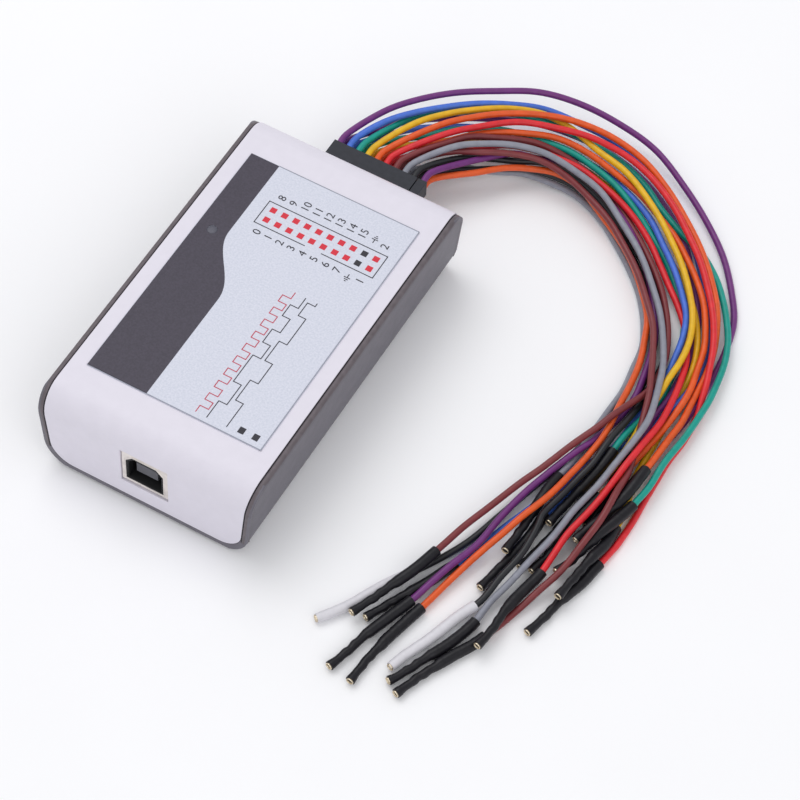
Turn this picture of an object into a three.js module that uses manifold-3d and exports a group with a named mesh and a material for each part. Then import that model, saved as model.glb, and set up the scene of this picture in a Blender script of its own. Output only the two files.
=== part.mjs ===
// USB logic analyzer: a two-piece plastic case with a USB type B socket in front,
// a pin header behind, and two plugs that carry a set of test leads.
// Millimetres, +Z up, +X right as seen from the USB end, +Y towards the leads.
// The origin is on the table, under the middle of the case.

import * as THREE from 'three';
import { mergeVertices } from 'three/addons/utils/BufferGeometryUtils.js';
import Module from 'manifold-3d';

const wasm = await Module();
wasm.setup();

// ---------------------------------------------------------------- driving dimensions

// case
const CASE_LENGTH = 95;
const CASE_WIDTH = 56;
const CASE_TOP = 24;
const FOOT_PROUD = 0.4;
const SIDE_LEAN_DEG = 5;
const BOTTOM_CORNER_RADIUS = 7;
const RIM_ROUND = 0.9;
const TRAY_WALL = 1.5;
const TRAY_FLOOR = 1.8;
const TRAY_BACK_SETBACK = 0.2;
const SHELL_SEAM = 0.15;
const SHELL_WALL = 2;
const SHELL_SIDE_WALL = 1.6;
const SHELL_RIM_FLUSH = 0.2;
const FRONT_TOP_RADIUS = 6.5;
const BACK_TOP_RADIUS = 5.5;
const BOTTOM_EDGE_RADIUS = 0.8;
const CAVITY_ROUND = 2;
const SMALLEST_CORNER = 1;

// printed label film and the status light under its window
const LABEL_SIDE_MARGIN = 5.5;
const LABEL_FRONT_MARGIN = 12.55;
const LABEL_BACK_MARGIN = 11.95;
const LABEL_THICKNESS = 0.25;
const LABEL_GLUE = 0.02;
const LABEL_ARC_STEPS = 3;
const LABEL_CORNER = 0.8;
const LED_DIAMETER = 2.2;
const LED_FROM_LABEL_LEFT = 4;
const LED_FROM_LABEL_BACK = 23.95;
const LED_HEIGHT = 2.4;
const LED_SET_BACK = 0.07;
const LED_CLEARANCE = 0.15;

// circuit board and what is soldered to it
const BOARD_TOP = 7.4;
const BOARD_THICKNESS = 1.6;
const BOARD_SIDE_INSET = 6;
const BOARD_FRONT_GAP = 2.6;
const BOARD_BACK_GAP = 3;
const PART_GAP = 0.3;
const CHIP_SIZES = {
  fpga_chip: { size: [20, 20, 1.4], x: 0, fromFront: 49.5 },
  usb_controller_chip: { size: [10, 10, 1.1], x: -9, fromFront: 27.5 },
};

// USB type B socket
const USB_WIDTH = 12;
const USB_HEIGHT = 10.7;
const USB_DEPTH = 16.4;
const USB_SHELL_SHEET = 1.5;
const USB_FACE_RECESS = 0.35;
const USB_OPENING_WIDTH = 9;
const USB_OPENING_HEIGHT = 7.8;
const USB_OPENING_CHAMFER = 1.6;
const USB_OPENING_DEPTH = 9.5;
const USB_TONGUE_WIDTH = 5.6;
const USB_TONGUE_HEIGHT = 3.2;
const USB_TONGUE_RECESS = 1;
const USB_CUTOUT_CLEARANCE = 0.15;
const USB_INSERT_CLEARANCE = 0.1;

// pin header, two rows, and the plugs on it
const PITCH = 2.54;
const CHANNEL_COLUMNS = 9;
const PWM_COLUMNS = 1;
const HEADER_ROWS = 2;
const PIN_SIDE = 0.64;
const PIN_LENGTH = 4.4;
const HEADER_BLOCK_DEPTH = 2.5;
const HEADER_BLOCK_FROM_BACK = 6.9;
const HEADER_LIFT = 0.4;
const PLUG_LENGTH = 14;
const PLUG_SHRINK = 0.12;
const PLUG_HOLE_SIDE = 1.3;
const PLUG_HOLE_DEPTH = 7;
const PLUG_GAP_TO_BLOCK = 0.3;
const HEADER_WINDOW_CLEARANCE = 0.6;

// case screws, bosses and feet
const SCREW_INSET_X = 10;
const SCREW_INSET_Y = 10;
const BOSS_DIAMETER = 6.5;
const SCREW_SHANK = 2.4;
const SCREW_HEAD = 4.6;
const SCREW_HEAD_DEPTH = 1.6;
const SCREW_END_DEPTH = 6;
const SCREW_CLEARANCE = 0.2;
const BOARD_HOLE_CLEARANCE = 0.4;
const POST_DIAMETER = 6;
const FOOT_DIAMETER = 8;
const FOOT_THICKNESS = 1.2;
const FOOT_INSET_X = 11;
const FOOT_INSET_Y = 22;
const FOOT_POCKET_CLEARANCE = 0.15;

// test leads
const LEAD_DIAMETER = 1.6;
const LEAD_SIDES = 8;
const LEAD_STEPS = 40;
const LEAD_GAP = 0.3;
const LEAD_STRAIGHT = 3;
const SLEEVE_LENGTH = 25;
const SLEEVE_DIAMETER = 2.5;
const SLEEVE_STEPS = 7;
const CRIMP_BORE = 1.1;
const CRIMP_DEPTH = 6;

// how the laid leads are settled until none lies in another
const SETTLE_SPACING = 1.5;
const SETTLE_ROUNDS = 300;
const SETTLE_BARE_ROUNDS = 12;
const SETTLE_CLEARANCE = 0.3;
const SETTLE_PUSH = 1.2;
const SETTLE_EVEN = 0.3;
const SETTLE_PAIR_ROUNDS = 20;
const SETTLE_PAIR_MARGIN = 2.5;
const SETTLE_FIXED_NODES = 2;

// modelling: how far cuts run past a face, how far joined solids run into each other,
// how full a rounded corner is, and how finely round things are divided
const CUT_BEYOND = 1;
const JOIN_OVERLAP = 0.5;
const ROUND_WEIGHT = 0.55;
const ARC_STEPS = 8;
const FOOT_SIDES = 20;
const SCREW_SIDES = 12;

// ---------------------------------------------------------------- derived places

const FRONT = -CASE_LENGTH / 2;
const BACK = CASE_LENGTH / 2;
const TRAY_BACK = BACK - TRAY_BACK_SETBACK;
const BASE = FOOT_PROUD;
const FLOOR_TOP = BASE + TRAY_FLOOR;
const HEAD_TOP = BASE + SCREW_HEAD_DEPTH;
const SCREW_END = BOARD_TOP + SCREW_END_DEPTH;
const BOARD_BOTTOM = BOARD_TOP - BOARD_THICKNESS;
const LEAN = Math.tan(THREE.MathUtils.degToRad(SIDE_LEAN_DEG));
const COLUMNS = CHANNEL_COLUMNS + PWM_COLUMNS;
const HEADER_WIDTH = COLUMNS * PITCH;
const HEADER_BOTTOM = BOARD_TOP + HEADER_LIFT;
const BLOCK_BACK = BACK - HEADER_BLOCK_FROM_BACK + HEADER_BLOCK_DEPTH;
const PLUG_FRONT = BLOCK_BACK + PLUG_GAP_TO_BLOCK;
const PLUG_BACK = PLUG_FRONT + PLUG_LENGTH;
const SHELL_UNDERSIDE = CASE_TOP - SHELL_WALL;
const LABEL_TOP = CASE_TOP + LABEL_GLUE + LABEL_THICKNESS;
const LABEL_HALF_WIDTH = CASE_WIDTH / 2 - LABEL_SIDE_MARGIN;
const LABEL_FRONT = FRONT + LABEL_FRONT_MARGIN;
const LABEL_BACK = BACK - LABEL_BACK_MARGIN;
const LED_X = -LABEL_HALF_WIDTH + LED_FROM_LABEL_LEFT;
const LED_Y = LABEL_BACK - LED_FROM_LABEL_BACK;

// ---------------------------------------------------------------- materials

const plastic = (color, roughness) => new THREE.MeshStandardMaterial({ color, roughness, metalness: 0 });
const metal = (color, roughness) => new THREE.MeshStandardMaterial({ color, roughness, metalness: 1 });

const WHITE_ABS = plastic(0xe4e1ea, 0.45);
const GREY_ABS = plastic(0x6b686f, 0.5);
const LABEL_FILM = plastic(0xe3e8f3, 0.35);
const LIGHT_PIPE = plastic(0x8a8d92, 0.3);
const BOARD_GREEN = plastic(0x1f5a3a, 0.5);
const CHIP_BLACK = plastic(0x1c1c1e, 0.4);
const HOUSING_BLACK = plastic(0x26262a, 0.55);
const SLEEVE_BLACK = plastic(0x1d1d22, 0.5);
const SLEEVE_WHITE = plastic(0xe2e0e6, 0.45);
const RUBBER = plastic(0x2a2a2c, 0.9);
const NICKEL = metal(0xd8d3c8, 0.3);
const BRASS_GOLD = metal(0xd9b25c, 0.3);
const STEEL = metal(0x8c8e92, 0.35);
const PURPLE_SILICONE = plastic(0x6e2a72, 0.55);
const BLUE_SILICONE = plastic(0x4a66c4, 0.55);
const TEAL_SILICONE = plastic(0x12a39b, 0.55);
const YELLOW_SILICONE = plastic(0xe3b52c, 0.55);
const ORANGE_SILICONE = plastic(0xdc5a28, 0.55);
const RED_SILICONE = plastic(0xdd3340, 0.55);
const BROWN_SILICONE = plastic(0x7a3036, 0.55);
const GREY_SILICONE = plastic(0x8d8f9c, 0.55);
const BLACK_SILICONE = plastic(0x1b1b20, 0.55);

// ---------------------------------------------------------------- solids

function solid(geometry) {
  const bare = geometry.index ? geometry.toNonIndexed() : geometry.clone();
  bare.deleteAttribute('normal');
  bare.deleteAttribute('uv');
  const merged = mergeVertices(bare, 1e-4);
  const vertProperties = new Float32Array(merged.attributes.position.array);
  const triVerts = new Uint32Array(merged.index.array);
  return new wasm.Manifold(new wasm.Mesh({ numProp: 3, vertProperties, triVerts }));
}

function toGeometry(manifold) {
  const { vertProperties, triVerts } = manifold.getMesh();
  const geometry = new THREE.BufferGeometry();
  geometry.setAttribute('position', new THREE.BufferAttribute(new Float32Array(vertProperties), 3));
  geometry.setIndex(new THREE.BufferAttribute(new Uint32Array(triVerts), 1));
  geometry.computeVertexNormals();
  return geometry;
}

// Outline in X and Z, drawn as a shape's x and y, pulled from y0 to y1.
function alongY(shape, y0, y1, curveSegments = ARC_STEPS) {
  const geometry = new THREE.ExtrudeGeometry(shape, { depth: y1 - y0, bevelEnabled: false, curveSegments });
  return solid(geometry.rotateX(Math.PI / 2).translate(0, y1, 0));
}

// Outline in Y and Z, drawn as a shape's x and y, pulled from x0 to x1.
function alongX(shape, x0, x1, curveSegments = ARC_STEPS) {
  const geometry = new THREE.ExtrudeGeometry(shape, { depth: x1 - x0, bevelEnabled: false, curveSegments });
  const turn = new THREE.Matrix4().makeBasis(
    new THREE.Vector3(0, 1, 0), new THREE.Vector3(0, 0, 1), new THREE.Vector3(1, 0, 0));
  return solid(geometry.applyMatrix4(turn).translate(x0, 0, 0));
}

function alongZ(shape, z0, z1, curveSegments = ARC_STEPS) {
  const geometry = new THREE.ExtrudeGeometry(shape, { depth: z1 - z0, bevelEnabled: false, curveSegments });
  return solid(geometry.translate(0, 0, z0));
}

function box(x0, x1, y0, y1, z0, z1) {
  const geometry = new THREE.BoxGeometry(x1 - x0, y1 - y0, z1 - z0);
  return solid(geometry.translate((x0 + x1) / 2, (y0 + y1) / 2, (z0 + z1) / 2));
}

function cylinderZ(x, y, diameter, z0, z1, sides = 16) {
  const geometry = new THREE.CylinderGeometry(diameter / 2, diameter / 2, z1 - z0, sides);
  return solid(geometry.rotateX(Math.PI / 2).translate(x, y, (z0 + z1) / 2));
}

// ---------------------------------------------------------------- case outlines

// Corner of an outline: a round one through the corner point, as a quadratic curve
// whose ends lie one radius away along both edges.
function roundCorner(shape, from, corner, to, radius) {
  const step = (a, b) => {
    const length = Math.hypot(b[0] - a[0], b[1] - a[1]);
    return [a[0] + (b[0] - a[0]) * radius / length, a[1] + (b[1] - a[1]) * radius / length];
  };
  const start = step(corner, from);
  const end = step(corner, to);
  shape.lineTo(start[0], start[1]);
  shape.bezierCurveTo(
    start[0] + (corner[0] - start[0]) * ROUND_WEIGHT, start[1] + (corner[1] - start[1]) * ROUND_WEIGHT,
    end[0] + (corner[0] - end[0]) * ROUND_WEIGHT, end[1] + (corner[1] - end[1]) * ROUND_WEIGHT,
    end[0], end[1]);
}

// Closed outline through corner points [x, y, radius].
function roundedOutline(corners) {
  const shape = new THREE.Shape();
  const count = corners.length;
  const last = corners[count - 1];
  const first = corners[0];
  shape.moveTo((last[0] + first[0]) / 2, (last[1] + first[1]) / 2);
  corners.forEach((corner, i) => {
    const before = corners[(i + count - 1) % count];
    const after = corners[(i + 1) % count];
    if (corner[2] > 0) roundCorner(shape, before, corner, after, corner[2]);
    else shape.lineTo(corner[0], corner[1]);
  });
  shape.closePath();
  return shape;
}

// Cross-section of the case seen from the front. inset moves the walls inwards,
// floor and top are the heights of its lower and upper edge.
function caseSection(inset, floor, top, topRound) {
  const halfTop = CASE_WIDTH / 2 - inset;
  const halfFloor = halfTop - (CASE_TOP - floor) * LEAN;
  const halfAtTop = halfTop - (CASE_TOP - top) * LEAN;
  const corner = Math.max(BOTTOM_CORNER_RADIUS - inset, SMALLEST_CORNER);
  return roundedOutline([
    [-halfFloor, floor, corner], [halfFloor, floor, corner],
    [halfAtTop, top, topRound], [-halfAtTop, top, topRound],
  ]);
}

// Outline of the case seen from the right: large round at the front top, small behind.
function sideProfile(front, back, floor, top, frontRound, backRound, bottomRound) {
  return roundedOutline([
    [front, floor, bottomRound], [back, floor, bottomRound],
    [back, top, backRound], [front, top, frontRound],
  ]);
}

// ---------------------------------------------------------------- case

const BOSS_X = CASE_WIDTH / 2 - SCREW_INSET_X;
const BOSS_Y = CASE_LENGTH / 2 - SCREW_INSET_Y;
const bossPlaces = [[-BOSS_X, -BOSS_Y], [BOSS_X, -BOSS_Y], [-BOSS_X, BOSS_Y], [BOSS_X, BOSS_Y]];
const FOOT_X = CASE_WIDTH / 2 - FOOT_INSET_X;
const FOOT_Y = CASE_LENGTH / 2 - FOOT_INSET_Y;
const footPlaces = [[-FOOT_X, -FOOT_Y], [FOOT_X, -FOOT_Y], [-FOOT_X, FOOT_Y], [FOOT_X, FOOT_Y]];

function lowerShell() {
  const rimTop = CASE_TOP - SHELL_RIM_FLUSH;
  const outer = alongY(caseSection(0, BASE, rimTop, RIM_ROUND), FRONT, TRAY_BACK);
  const profile = sideProfile(
    FRONT, TRAY_BACK, BASE, rimTop, FRONT_TOP_RADIUS, BACK_TOP_RADIUS, BOTTOM_EDGE_RADIUS);
  const inner = alongY(
    caseSection(TRAY_WALL, FLOOR_TOP, CASE_TOP + CUT_BEYOND, 0), FRONT - CUT_BEYOND, TRAY_BACK + CUT_BEYOND);
  let tray = outer.intersect(alongX(profile, -CASE_WIDTH, CASE_WIDTH)).subtract(inner);
  for (const [x, y] of bossPlaces) {
    tray = tray.add(cylinderZ(x, y, BOSS_DIAMETER, FLOOR_TOP - JOIN_OVERLAP, BOARD_BOTTOM - PART_GAP));
    tray = tray.subtract(cylinderZ(x, y, SCREW_SHANK + 2 * SCREW_CLEARANCE, BASE - CUT_BEYOND, BOARD_TOP));
    const sink = SCREW_HEAD + 2 * SCREW_CLEARANCE;
    tray = tray.subtract(cylinderZ(x, y, sink, BASE - CUT_BEYOND, HEAD_TOP + SCREW_CLEARANCE));
  }
  for (const [x, y] of footPlaces) {
    const pocket = FOOT_DIAMETER + 2 * FOOT_POCKET_CLEARANCE;
    const pocketTop = FOOT_THICKNESS + FOOT_POCKET_CLEARANCE;
    tray = tray.subtract(cylinderZ(x, y, pocket, BASE - CUT_BEYOND, pocketTop, FOOT_SIDES));
  }
  return tray;
}

function upperShell() {
  const rim = FLOOR_TOP + SHELL_SEAM;
  const inset = TRAY_WALL + SHELL_SEAM;
  const outer = alongY(caseSection(inset, rim, CASE_TOP, 0), FRONT, BACK);
  const outerProfile = sideProfile(FRONT, BACK, rim, CASE_TOP, FRONT_TOP_RADIUS, BACK_TOP_RADIUS, 0);
  const cavity = alongY(
    caseSection(inset + SHELL_SIDE_WALL, rim - CUT_BEYOND, SHELL_UNDERSIDE, CAVITY_ROUND),
    FRONT + SHELL_WALL, BACK - SHELL_WALL);
  const cavityProfile = sideProfile(
    FRONT + SHELL_WALL, BACK - SHELL_WALL, rim - CUT_BEYOND, SHELL_UNDERSIDE,
    FRONT_TOP_RADIUS - SHELL_WALL, BACK_TOP_RADIUS - SHELL_WALL, 0);
  let shell = outer.intersect(alongX(outerProfile, -CASE_WIDTH, CASE_WIDTH));
  shell = shell.subtract(cavity.intersect(alongX(cavityProfile, -CASE_WIDTH, CASE_WIDTH)));
  for (const [x, y] of bossPlaces) {
    shell = shell.add(cylinderZ(x, y, POST_DIAMETER, BOARD_TOP + PART_GAP, SHELL_UNDERSIDE + JOIN_OVERLAP));
    shell = shell.subtract(cylinderZ(
      x, y, SCREW_SHANK + 2 * SCREW_CLEARANCE, BOARD_TOP - CUT_BEYOND, SCREW_END + PART_GAP));
  }
  return shell.subtract(usbCutout()).subtract(headerWindow()).subtract(lightPipeHole());
}

function usbCutout() {
  const half = USB_WIDTH / 2 + USB_CUTOUT_CLEARANCE;
  return box(-half, half, FRONT - CUT_BEYOND, USB_FACE + USB_DEPTH + USB_CUTOUT_CLEARANCE,
    BOARD_TOP - USB_CUTOUT_CLEARANCE, BOARD_TOP + PART_GAP + USB_HEIGHT + USB_CUTOUT_CLEARANCE);
}

function headerWindow() {
  const half = HEADER_WIDTH / 2 + HEADER_WINDOW_CLEARANCE;
  return box(-half, half, BACK - SHELL_WALL - CUT_BEYOND, BACK + CUT_BEYOND,
    HEADER_BOTTOM - HEADER_WINDOW_CLEARANCE, HEADER_BOTTOM + HEADER_ROWS * PITCH + HEADER_WINDOW_CLEARANCE);
}

function lightPipeHole() {
  return cylinderZ(
    LED_X, LED_Y, LED_DIAMETER + 2 * LED_CLEARANCE, SHELL_UNDERSIDE - CUT_BEYOND, CASE_TOP + CUT_BEYOND);
}

function topLabel() {
  const outline = roundedOutline([
    [-LABEL_HALF_WIDTH, LABEL_FRONT, LABEL_CORNER], [LABEL_HALF_WIDTH, LABEL_FRONT, LABEL_CORNER],
    [LABEL_HALF_WIDTH, LABEL_BACK, LABEL_CORNER], [-LABEL_HALF_WIDTH, LABEL_BACK, LABEL_CORNER],
  ]);
  const film = alongZ(outline, CASE_TOP + LABEL_GLUE, LABEL_TOP, LABEL_ARC_STEPS);
  return film.subtract(lightPipeHole());
}

function lightPipe() {
  return cylinderZ(LED_X, LED_Y, LED_DIAMETER, CASE_TOP - LED_HEIGHT, LABEL_TOP - LED_SET_BACK);
}

// ---------------------------------------------------------------- electronics

function circuitBoard() {
  const half = CASE_WIDTH / 2 - BOARD_SIDE_INSET;
  const front = FRONT + BOARD_FRONT_GAP;
  const back = BACK - BOARD_BACK_GAP;
  let board = box(-half, half, front, back, BOARD_BOTTOM, BOARD_TOP);
  const hole = SCREW_SHANK + 2 * BOARD_HOLE_CLEARANCE;
  for (const [x, y] of bossPlaces) {
    board = board.subtract(cylinderZ(x, y, hole, BOARD_BOTTOM - CUT_BEYOND, BOARD_TOP + CUT_BEYOND));
  }
  return board;
}

function chip({ size, x, fromFront }) {
  const [width, depth, height] = size;
  const y = FRONT + fromFront;
  return box(x - width / 2, x + width / 2, y - depth / 2, y + depth / 2,
    BOARD_TOP + PART_GAP, BOARD_TOP + PART_GAP + height);
}

const USB_FACE = FRONT + USB_FACE_RECESS;
const USB_BOTTOM = BOARD_TOP + PART_GAP;
const USB_MIDDLE = USB_BOTTOM + USB_HEIGHT / 2;

function usbOpeningShape(grow) {
  const half = USB_OPENING_WIDTH / 2 + grow;
  const low = USB_MIDDLE - USB_OPENING_HEIGHT / 2 - grow;
  const high = USB_MIDDLE + USB_OPENING_HEIGHT / 2 + grow;
  const shape = new THREE.Shape();
  shape.moveTo(-half, low);
  shape.lineTo(half, low);
  shape.lineTo(half, high - USB_OPENING_CHAMFER);
  shape.lineTo(half - USB_OPENING_CHAMFER, high);
  shape.lineTo(-half + USB_OPENING_CHAMFER, high);
  shape.lineTo(-half, high - USB_OPENING_CHAMFER);
  shape.closePath();
  return shape;
}

function usbSocketShell() {
  const body = box(-USB_WIDTH / 2, USB_WIDTH / 2, USB_FACE, USB_FACE + USB_DEPTH,
    USB_BOTTOM, USB_BOTTOM + USB_HEIGHT);
  const bottomOfOpening = USB_FACE + USB_DEPTH - USB_SHELL_SHEET;
  return body.subtract(alongY(usbOpeningShape(0), USB_FACE - CUT_BEYOND, bottomOfOpening));
}

// The moulded insert fills the back of the shell and carries the tongue forward.
function usbSocketInsert() {
  const back = USB_FACE + USB_DEPTH - USB_SHELL_SHEET - PART_GAP;
  const base = alongY(usbOpeningShape(-USB_INSERT_CLEARANCE), USB_FACE + USB_OPENING_DEPTH, back);
  const half = USB_TONGUE_WIDTH / 2;
  const tongue = box(-half, half, USB_FACE + USB_TONGUE_RECESS, USB_FACE + USB_OPENING_DEPTH + JOIN_OVERLAP,
    USB_MIDDLE - USB_TONGUE_HEIGHT / 2, USB_MIDDLE + USB_TONGUE_HEIGHT / 2);
  return base.add(tongue);
}

// ---------------------------------------------------------------- header and plugs

const columnX = (column) => -HEADER_WIDTH / 2 + (column + 0.5) * PITCH;
const rowZ = (row) => HEADER_BOTTOM + (row + 0.5) * PITCH;

function pinHeader() {
  let header = box(-HEADER_WIDTH / 2, HEADER_WIDTH / 2, BLOCK_BACK - HEADER_BLOCK_DEPTH, BLOCK_BACK,
    HEADER_BOTTOM, HEADER_BOTTOM + HEADER_ROWS * PITCH);
  for (let column = 0; column < COLUMNS; column++) {
    for (let row = 0; row < HEADER_ROWS; row++) {
      const x = columnX(column);
      const z = rowZ(row);
      header = header.add(box(x - PIN_SIDE / 2, x + PIN_SIDE / 2, BLOCK_BACK - JOIN_OVERLAP,
        BLOCK_BACK + PIN_LENGTH, z - PIN_SIDE / 2, z + PIN_SIDE / 2));
    }
  }
  return header;
}

// Crimp housing for the columns from first up to, but not including, end.
function plug(first, end) {
  const x0 = -HEADER_WIDTH / 2 + first * PITCH + PLUG_SHRINK;
  const x1 = -HEADER_WIDTH / 2 + end * PITCH - PLUG_SHRINK;
  const half = PLUG_HOLE_SIDE / 2;
  let housing = box(x0, x1, PLUG_FRONT, PLUG_BACK,
    HEADER_BOTTOM + PLUG_SHRINK, HEADER_BOTTOM + HEADER_ROWS * PITCH - PLUG_SHRINK);
  for (let column = first; column < end; column++) {
    for (let row = 0; row < HEADER_ROWS; row++) {
      const x = columnX(column);
      const z = rowZ(row);
      housing = housing.subtract(box(x - half, x + half,
        PLUG_FRONT - CUT_BEYOND, PLUG_FRONT + PLUG_HOLE_DEPTH, z - half, z + half));
    }
  }
  return housing;
}

// ---------------------------------------------------------------- test leads

// Each lead leaves its plug at a column and row, and lies along the points of its route,
// which end at the tip of its sleeve. The heights say which lead crosses over which.
const LEADS = [
  {
    name: 'purple_upper', jacket: PURPLE_SILICONE, sleeve: SLEEVE_BLACK, column: 0, row: 1,
    route: [
      [-7, 72.5, 11.5], [-2.5, 79.5, 11], [4, 86.5, 10.5], [12, 92.5, 10], [21, 98.5, 9],
      [30.5, 101.5, 7.5], [41.5, 102, 6], [52, 100.5, 4.5], [63, 95, 3], [72, 89, 2], [80, 82, 1.3],
      [86.5, 73.5, 1], [90.5, 66.5, 1], [92.5, 58.5, 1], [93.5, 51, 1], [94, 42, 1], [93.5, 34, 1],
      [92.5, 27.5, 1.1], [92.5, 22.5, 1.4], [92, 15.5, 1.5], [91, 7.5, 1.5], [90, 0.5, 1.5],
      [88.5, -7, 1.5],
    ],
  },
  {
    name: 'blue_upper', jacket: BLUE_SILICONE, sleeve: SLEEVE_BLACK, column: 1, row: 1,
    route: [
      [-6, 68, 11.5], [-1.5, 74.5, 11.3], [3.5, 80, 11], [10, 86, 10.5], [17, 91, 9.5],
      [24, 95.5, 7.5], [33, 97.5, 5.5], [42.5, 98, 4], [52.5, 96, 2.8], [62.5, 90.5, 1.8],
      [71, 83, 1.2], [78.5, 74, 1], [84.5, 65.5, 1], [88, 57.5, 1], [89.5, 49.5, 1], [90, 40.5, 1],
      [88.5, 32, 1], [86.5, 25, 1], [83.5, 18.5, 2.5], [80.5, 12, 2.5], [77.5, 4.5, 1],
      [74.5, -4.5, 1], [71.5, -13, 1], [69, -22, 1.2], [66.5, -27.5, 1.4], [64, -33.5, 1.4],
      [60, -40, 1.4], [56, -47.5, 1.4],
    ],
  },
  {
    name: 'teal_upper', jacket: TEAL_SILICONE, sleeve: SLEEVE_BLACK, column: 2, row: 1,
    route: [
      [-4, 69, 10.5], [-1.5, 75, 9.5], [4.5, 81.5, 8.8], [12.5, 86.5, 8.6], [21, 91, 8], [30, 93, 7],
      [40.5, 93, 6], [48, 92, 5.2], [55, 89.5, 4.4], [61.5, 85.5, 3.7], [69, 82, 3], [75, 79.5, 2.9],
      [81, 75, 2.8], [85.5, 70, 2.8], [89, 65, 2.8], [92, 59.5, 2.8], [94, 53.5, 2.8], [95, 47, 2.9],
      [95.5, 40, 3], [95.5, 30, 3.4], [94.5, 21, 3.8], [94, 13, 3.8], [92.5, 6.5, 3.6],
      [91.5, 0.5, 3.4], [89.5, -7, 2.4], [88, -12.5, 1.6], [86.5, -16, 1.4],
    ],
  },
  {
    name: 'yellow_upper', jacket: YELLOW_SILICONE, sleeve: SLEEVE_BLACK, column: 3, row: 1,
    route: [
      [1, 72, 12], [5.5, 78.5, 11.5], [12, 85, 10.8], [18.5, 90, 9.8], [25.5, 93, 8.8], [33, 93, 8],
      [42, 90.5, 7.4], [49, 89, 6.8], [56.5, 85.5, 6], [63, 81.5, 5.2], [69, 76.5, 4.8],
      [74, 71.5, 4.6], [78.5, 65.5, 4.5], [82, 59.5, 4.5], [84.5, 53.5, 4.5], [85.5, 47.5, 4.4],
      [85.5, 41, 4], [86, 35, 3.4], [86.5, 29.5, 2.8], [86.5, 23.5, 2.7], [85.5, 16.5, 2.7],
      [85, 10.5, 2.7], [84.5, 5, 2.4], [83, -0.5, 1.6], [82, -7.5, 1.4], [81, -13.5, 1.4],
      [80, -19, 1.4],
    ],
  },
  {
    name: 'orange_upper', jacket: ORANGE_SILICONE, sleeve: SLEEVE_BLACK, column: 4, row: 1,
    route: [
      [6.5, 74.5, 12.3], [11.5, 80.5, 12], [18, 86.5, 11.4], [26, 91.5, 10.6], [34, 94.5, 9.6],
      [43, 95.5, 8.4], [52, 94, 7.2], [60.5, 90, 6], [68.5, 84.5, 5], [75, 79, 4.5], [80.5, 73, 4.3],
      [85.5, 66.5, 4], [88.5, 61, 3.4], [91, 54.5, 2.8], [92.5, 47.5, 2.8], [93, 40.5, 2.8],
      [93.5, 33.5, 2.8], [93, 27.5, 2.8], [92.5, 20.5, 2.8], [92, 14.5, 3], [91.5, 7.5, 3],
      [90, 0, 2.6], [88, -7.5, 1.5],
    ],
  },
  {
    name: 'red_upper', jacket: RED_SILICONE, sleeve: SLEEVE_BLACK, column: 5, row: 1,
    route: [
      [9, 72.5, 12.5], [15, 79.5, 12], [22, 86, 11.2], [30, 89.5, 10.4], [38, 92, 9.3],
      [47.5, 92.5, 8], [55.5, 90.5, 7.2], [64, 86, 6.4], [71, 80.5, 5.8], [77, 75, 5.4], [82, 69, 5],
      [86.5, 62.5, 4.8], [90, 55.5, 4.6], [92, 49.5, 4], [93.5, 44, 2.9], [95, 38, 1.3],
      [95.5, 30.5, 1], [95, 24, 1], [95, 17.5, 1], [95, 11, 1], [95, 5, 1], [94.5, -1.5, 1.1],
      [94, -6.5, 1.3], [93.5, -10, 1.4], [93, -15, 1.4], [91.5, -21, 1.4], [90.5, -27, 1.4],
      [89, -33, 1.4],
    ],
  },
  {
    name: 'brown_upper', jacket: BROWN_SILICONE, sleeve: SLEEVE_BLACK, column: 6, row: 1,
    route: [
      [10, 71, 10.8], [13.5, 76, 10.2], [19, 79.5, 9.4], [25.5, 83, 8], [32.5, 85.5, 6.6],
      [41, 85, 5.4], [50, 82, 4.2], [58.5, 77, 3.4], [66, 71, 3], [72, 65, 2.8], [76.5, 59, 2.8],
      [80, 53, 2.8], [82.5, 47, 2.8], [83.5, 40.5, 2.8], [83, 35.5, 3], [81, 29, 3.4], [78.5, 21, 3.4],
      [76, 14.5, 3.2], [73.5, 7, 3], [70, -1, 3], [67, -9.5, 3], [64.5, -17, 2.9], [63, -23, 2.7],
      [62, -27, 2.6], [60.5, -32, 2.2], [58, -38, 1.5], [56, -44, 1.4], [54, -49, 1.4],
    ],
  },
  {
    name: 'grey_upper', jacket: GREY_SILICONE, sleeve: SLEEVE_BLACK, column: 7, row: 1,
    route: [
      [13, 70, 13], [18.5, 75, 12.3], [24.5, 79, 11.4], [31.5, 81.5, 10.2], [39.5, 81.5, 8.8],
      [47.5, 80, 7.6], [55.5, 75.5, 6.2], [63.5, 70, 5.2], [70, 63.5, 4.8], [75.5, 57, 4.6],
      [80, 49.5, 4.6], [83, 43, 4.6], [85, 35.5, 5], [86.5, 28, 5.2], [86.5, 20.5, 5], [86, 13, 4.6],
      [85.5, 6, 4.4], [84, -1.5, 4], [83, -10, 3.8], [81.5, -17, 3.4], [80, -24.5, 2.8],
      [78.5, -30.5, 2], [78, -37, 1.6], [76.5, -42.5, 1.4], [74.5, -47.5, 1.4], [71.5, -53.5, 1.4],
      [68.5, -58.5, 1.4],
    ],
  },
  {
    name: 'black_upper', jacket: BLACK_SILICONE, sleeve: SLEEVE_WHITE, column: 8, row: 1,
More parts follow.
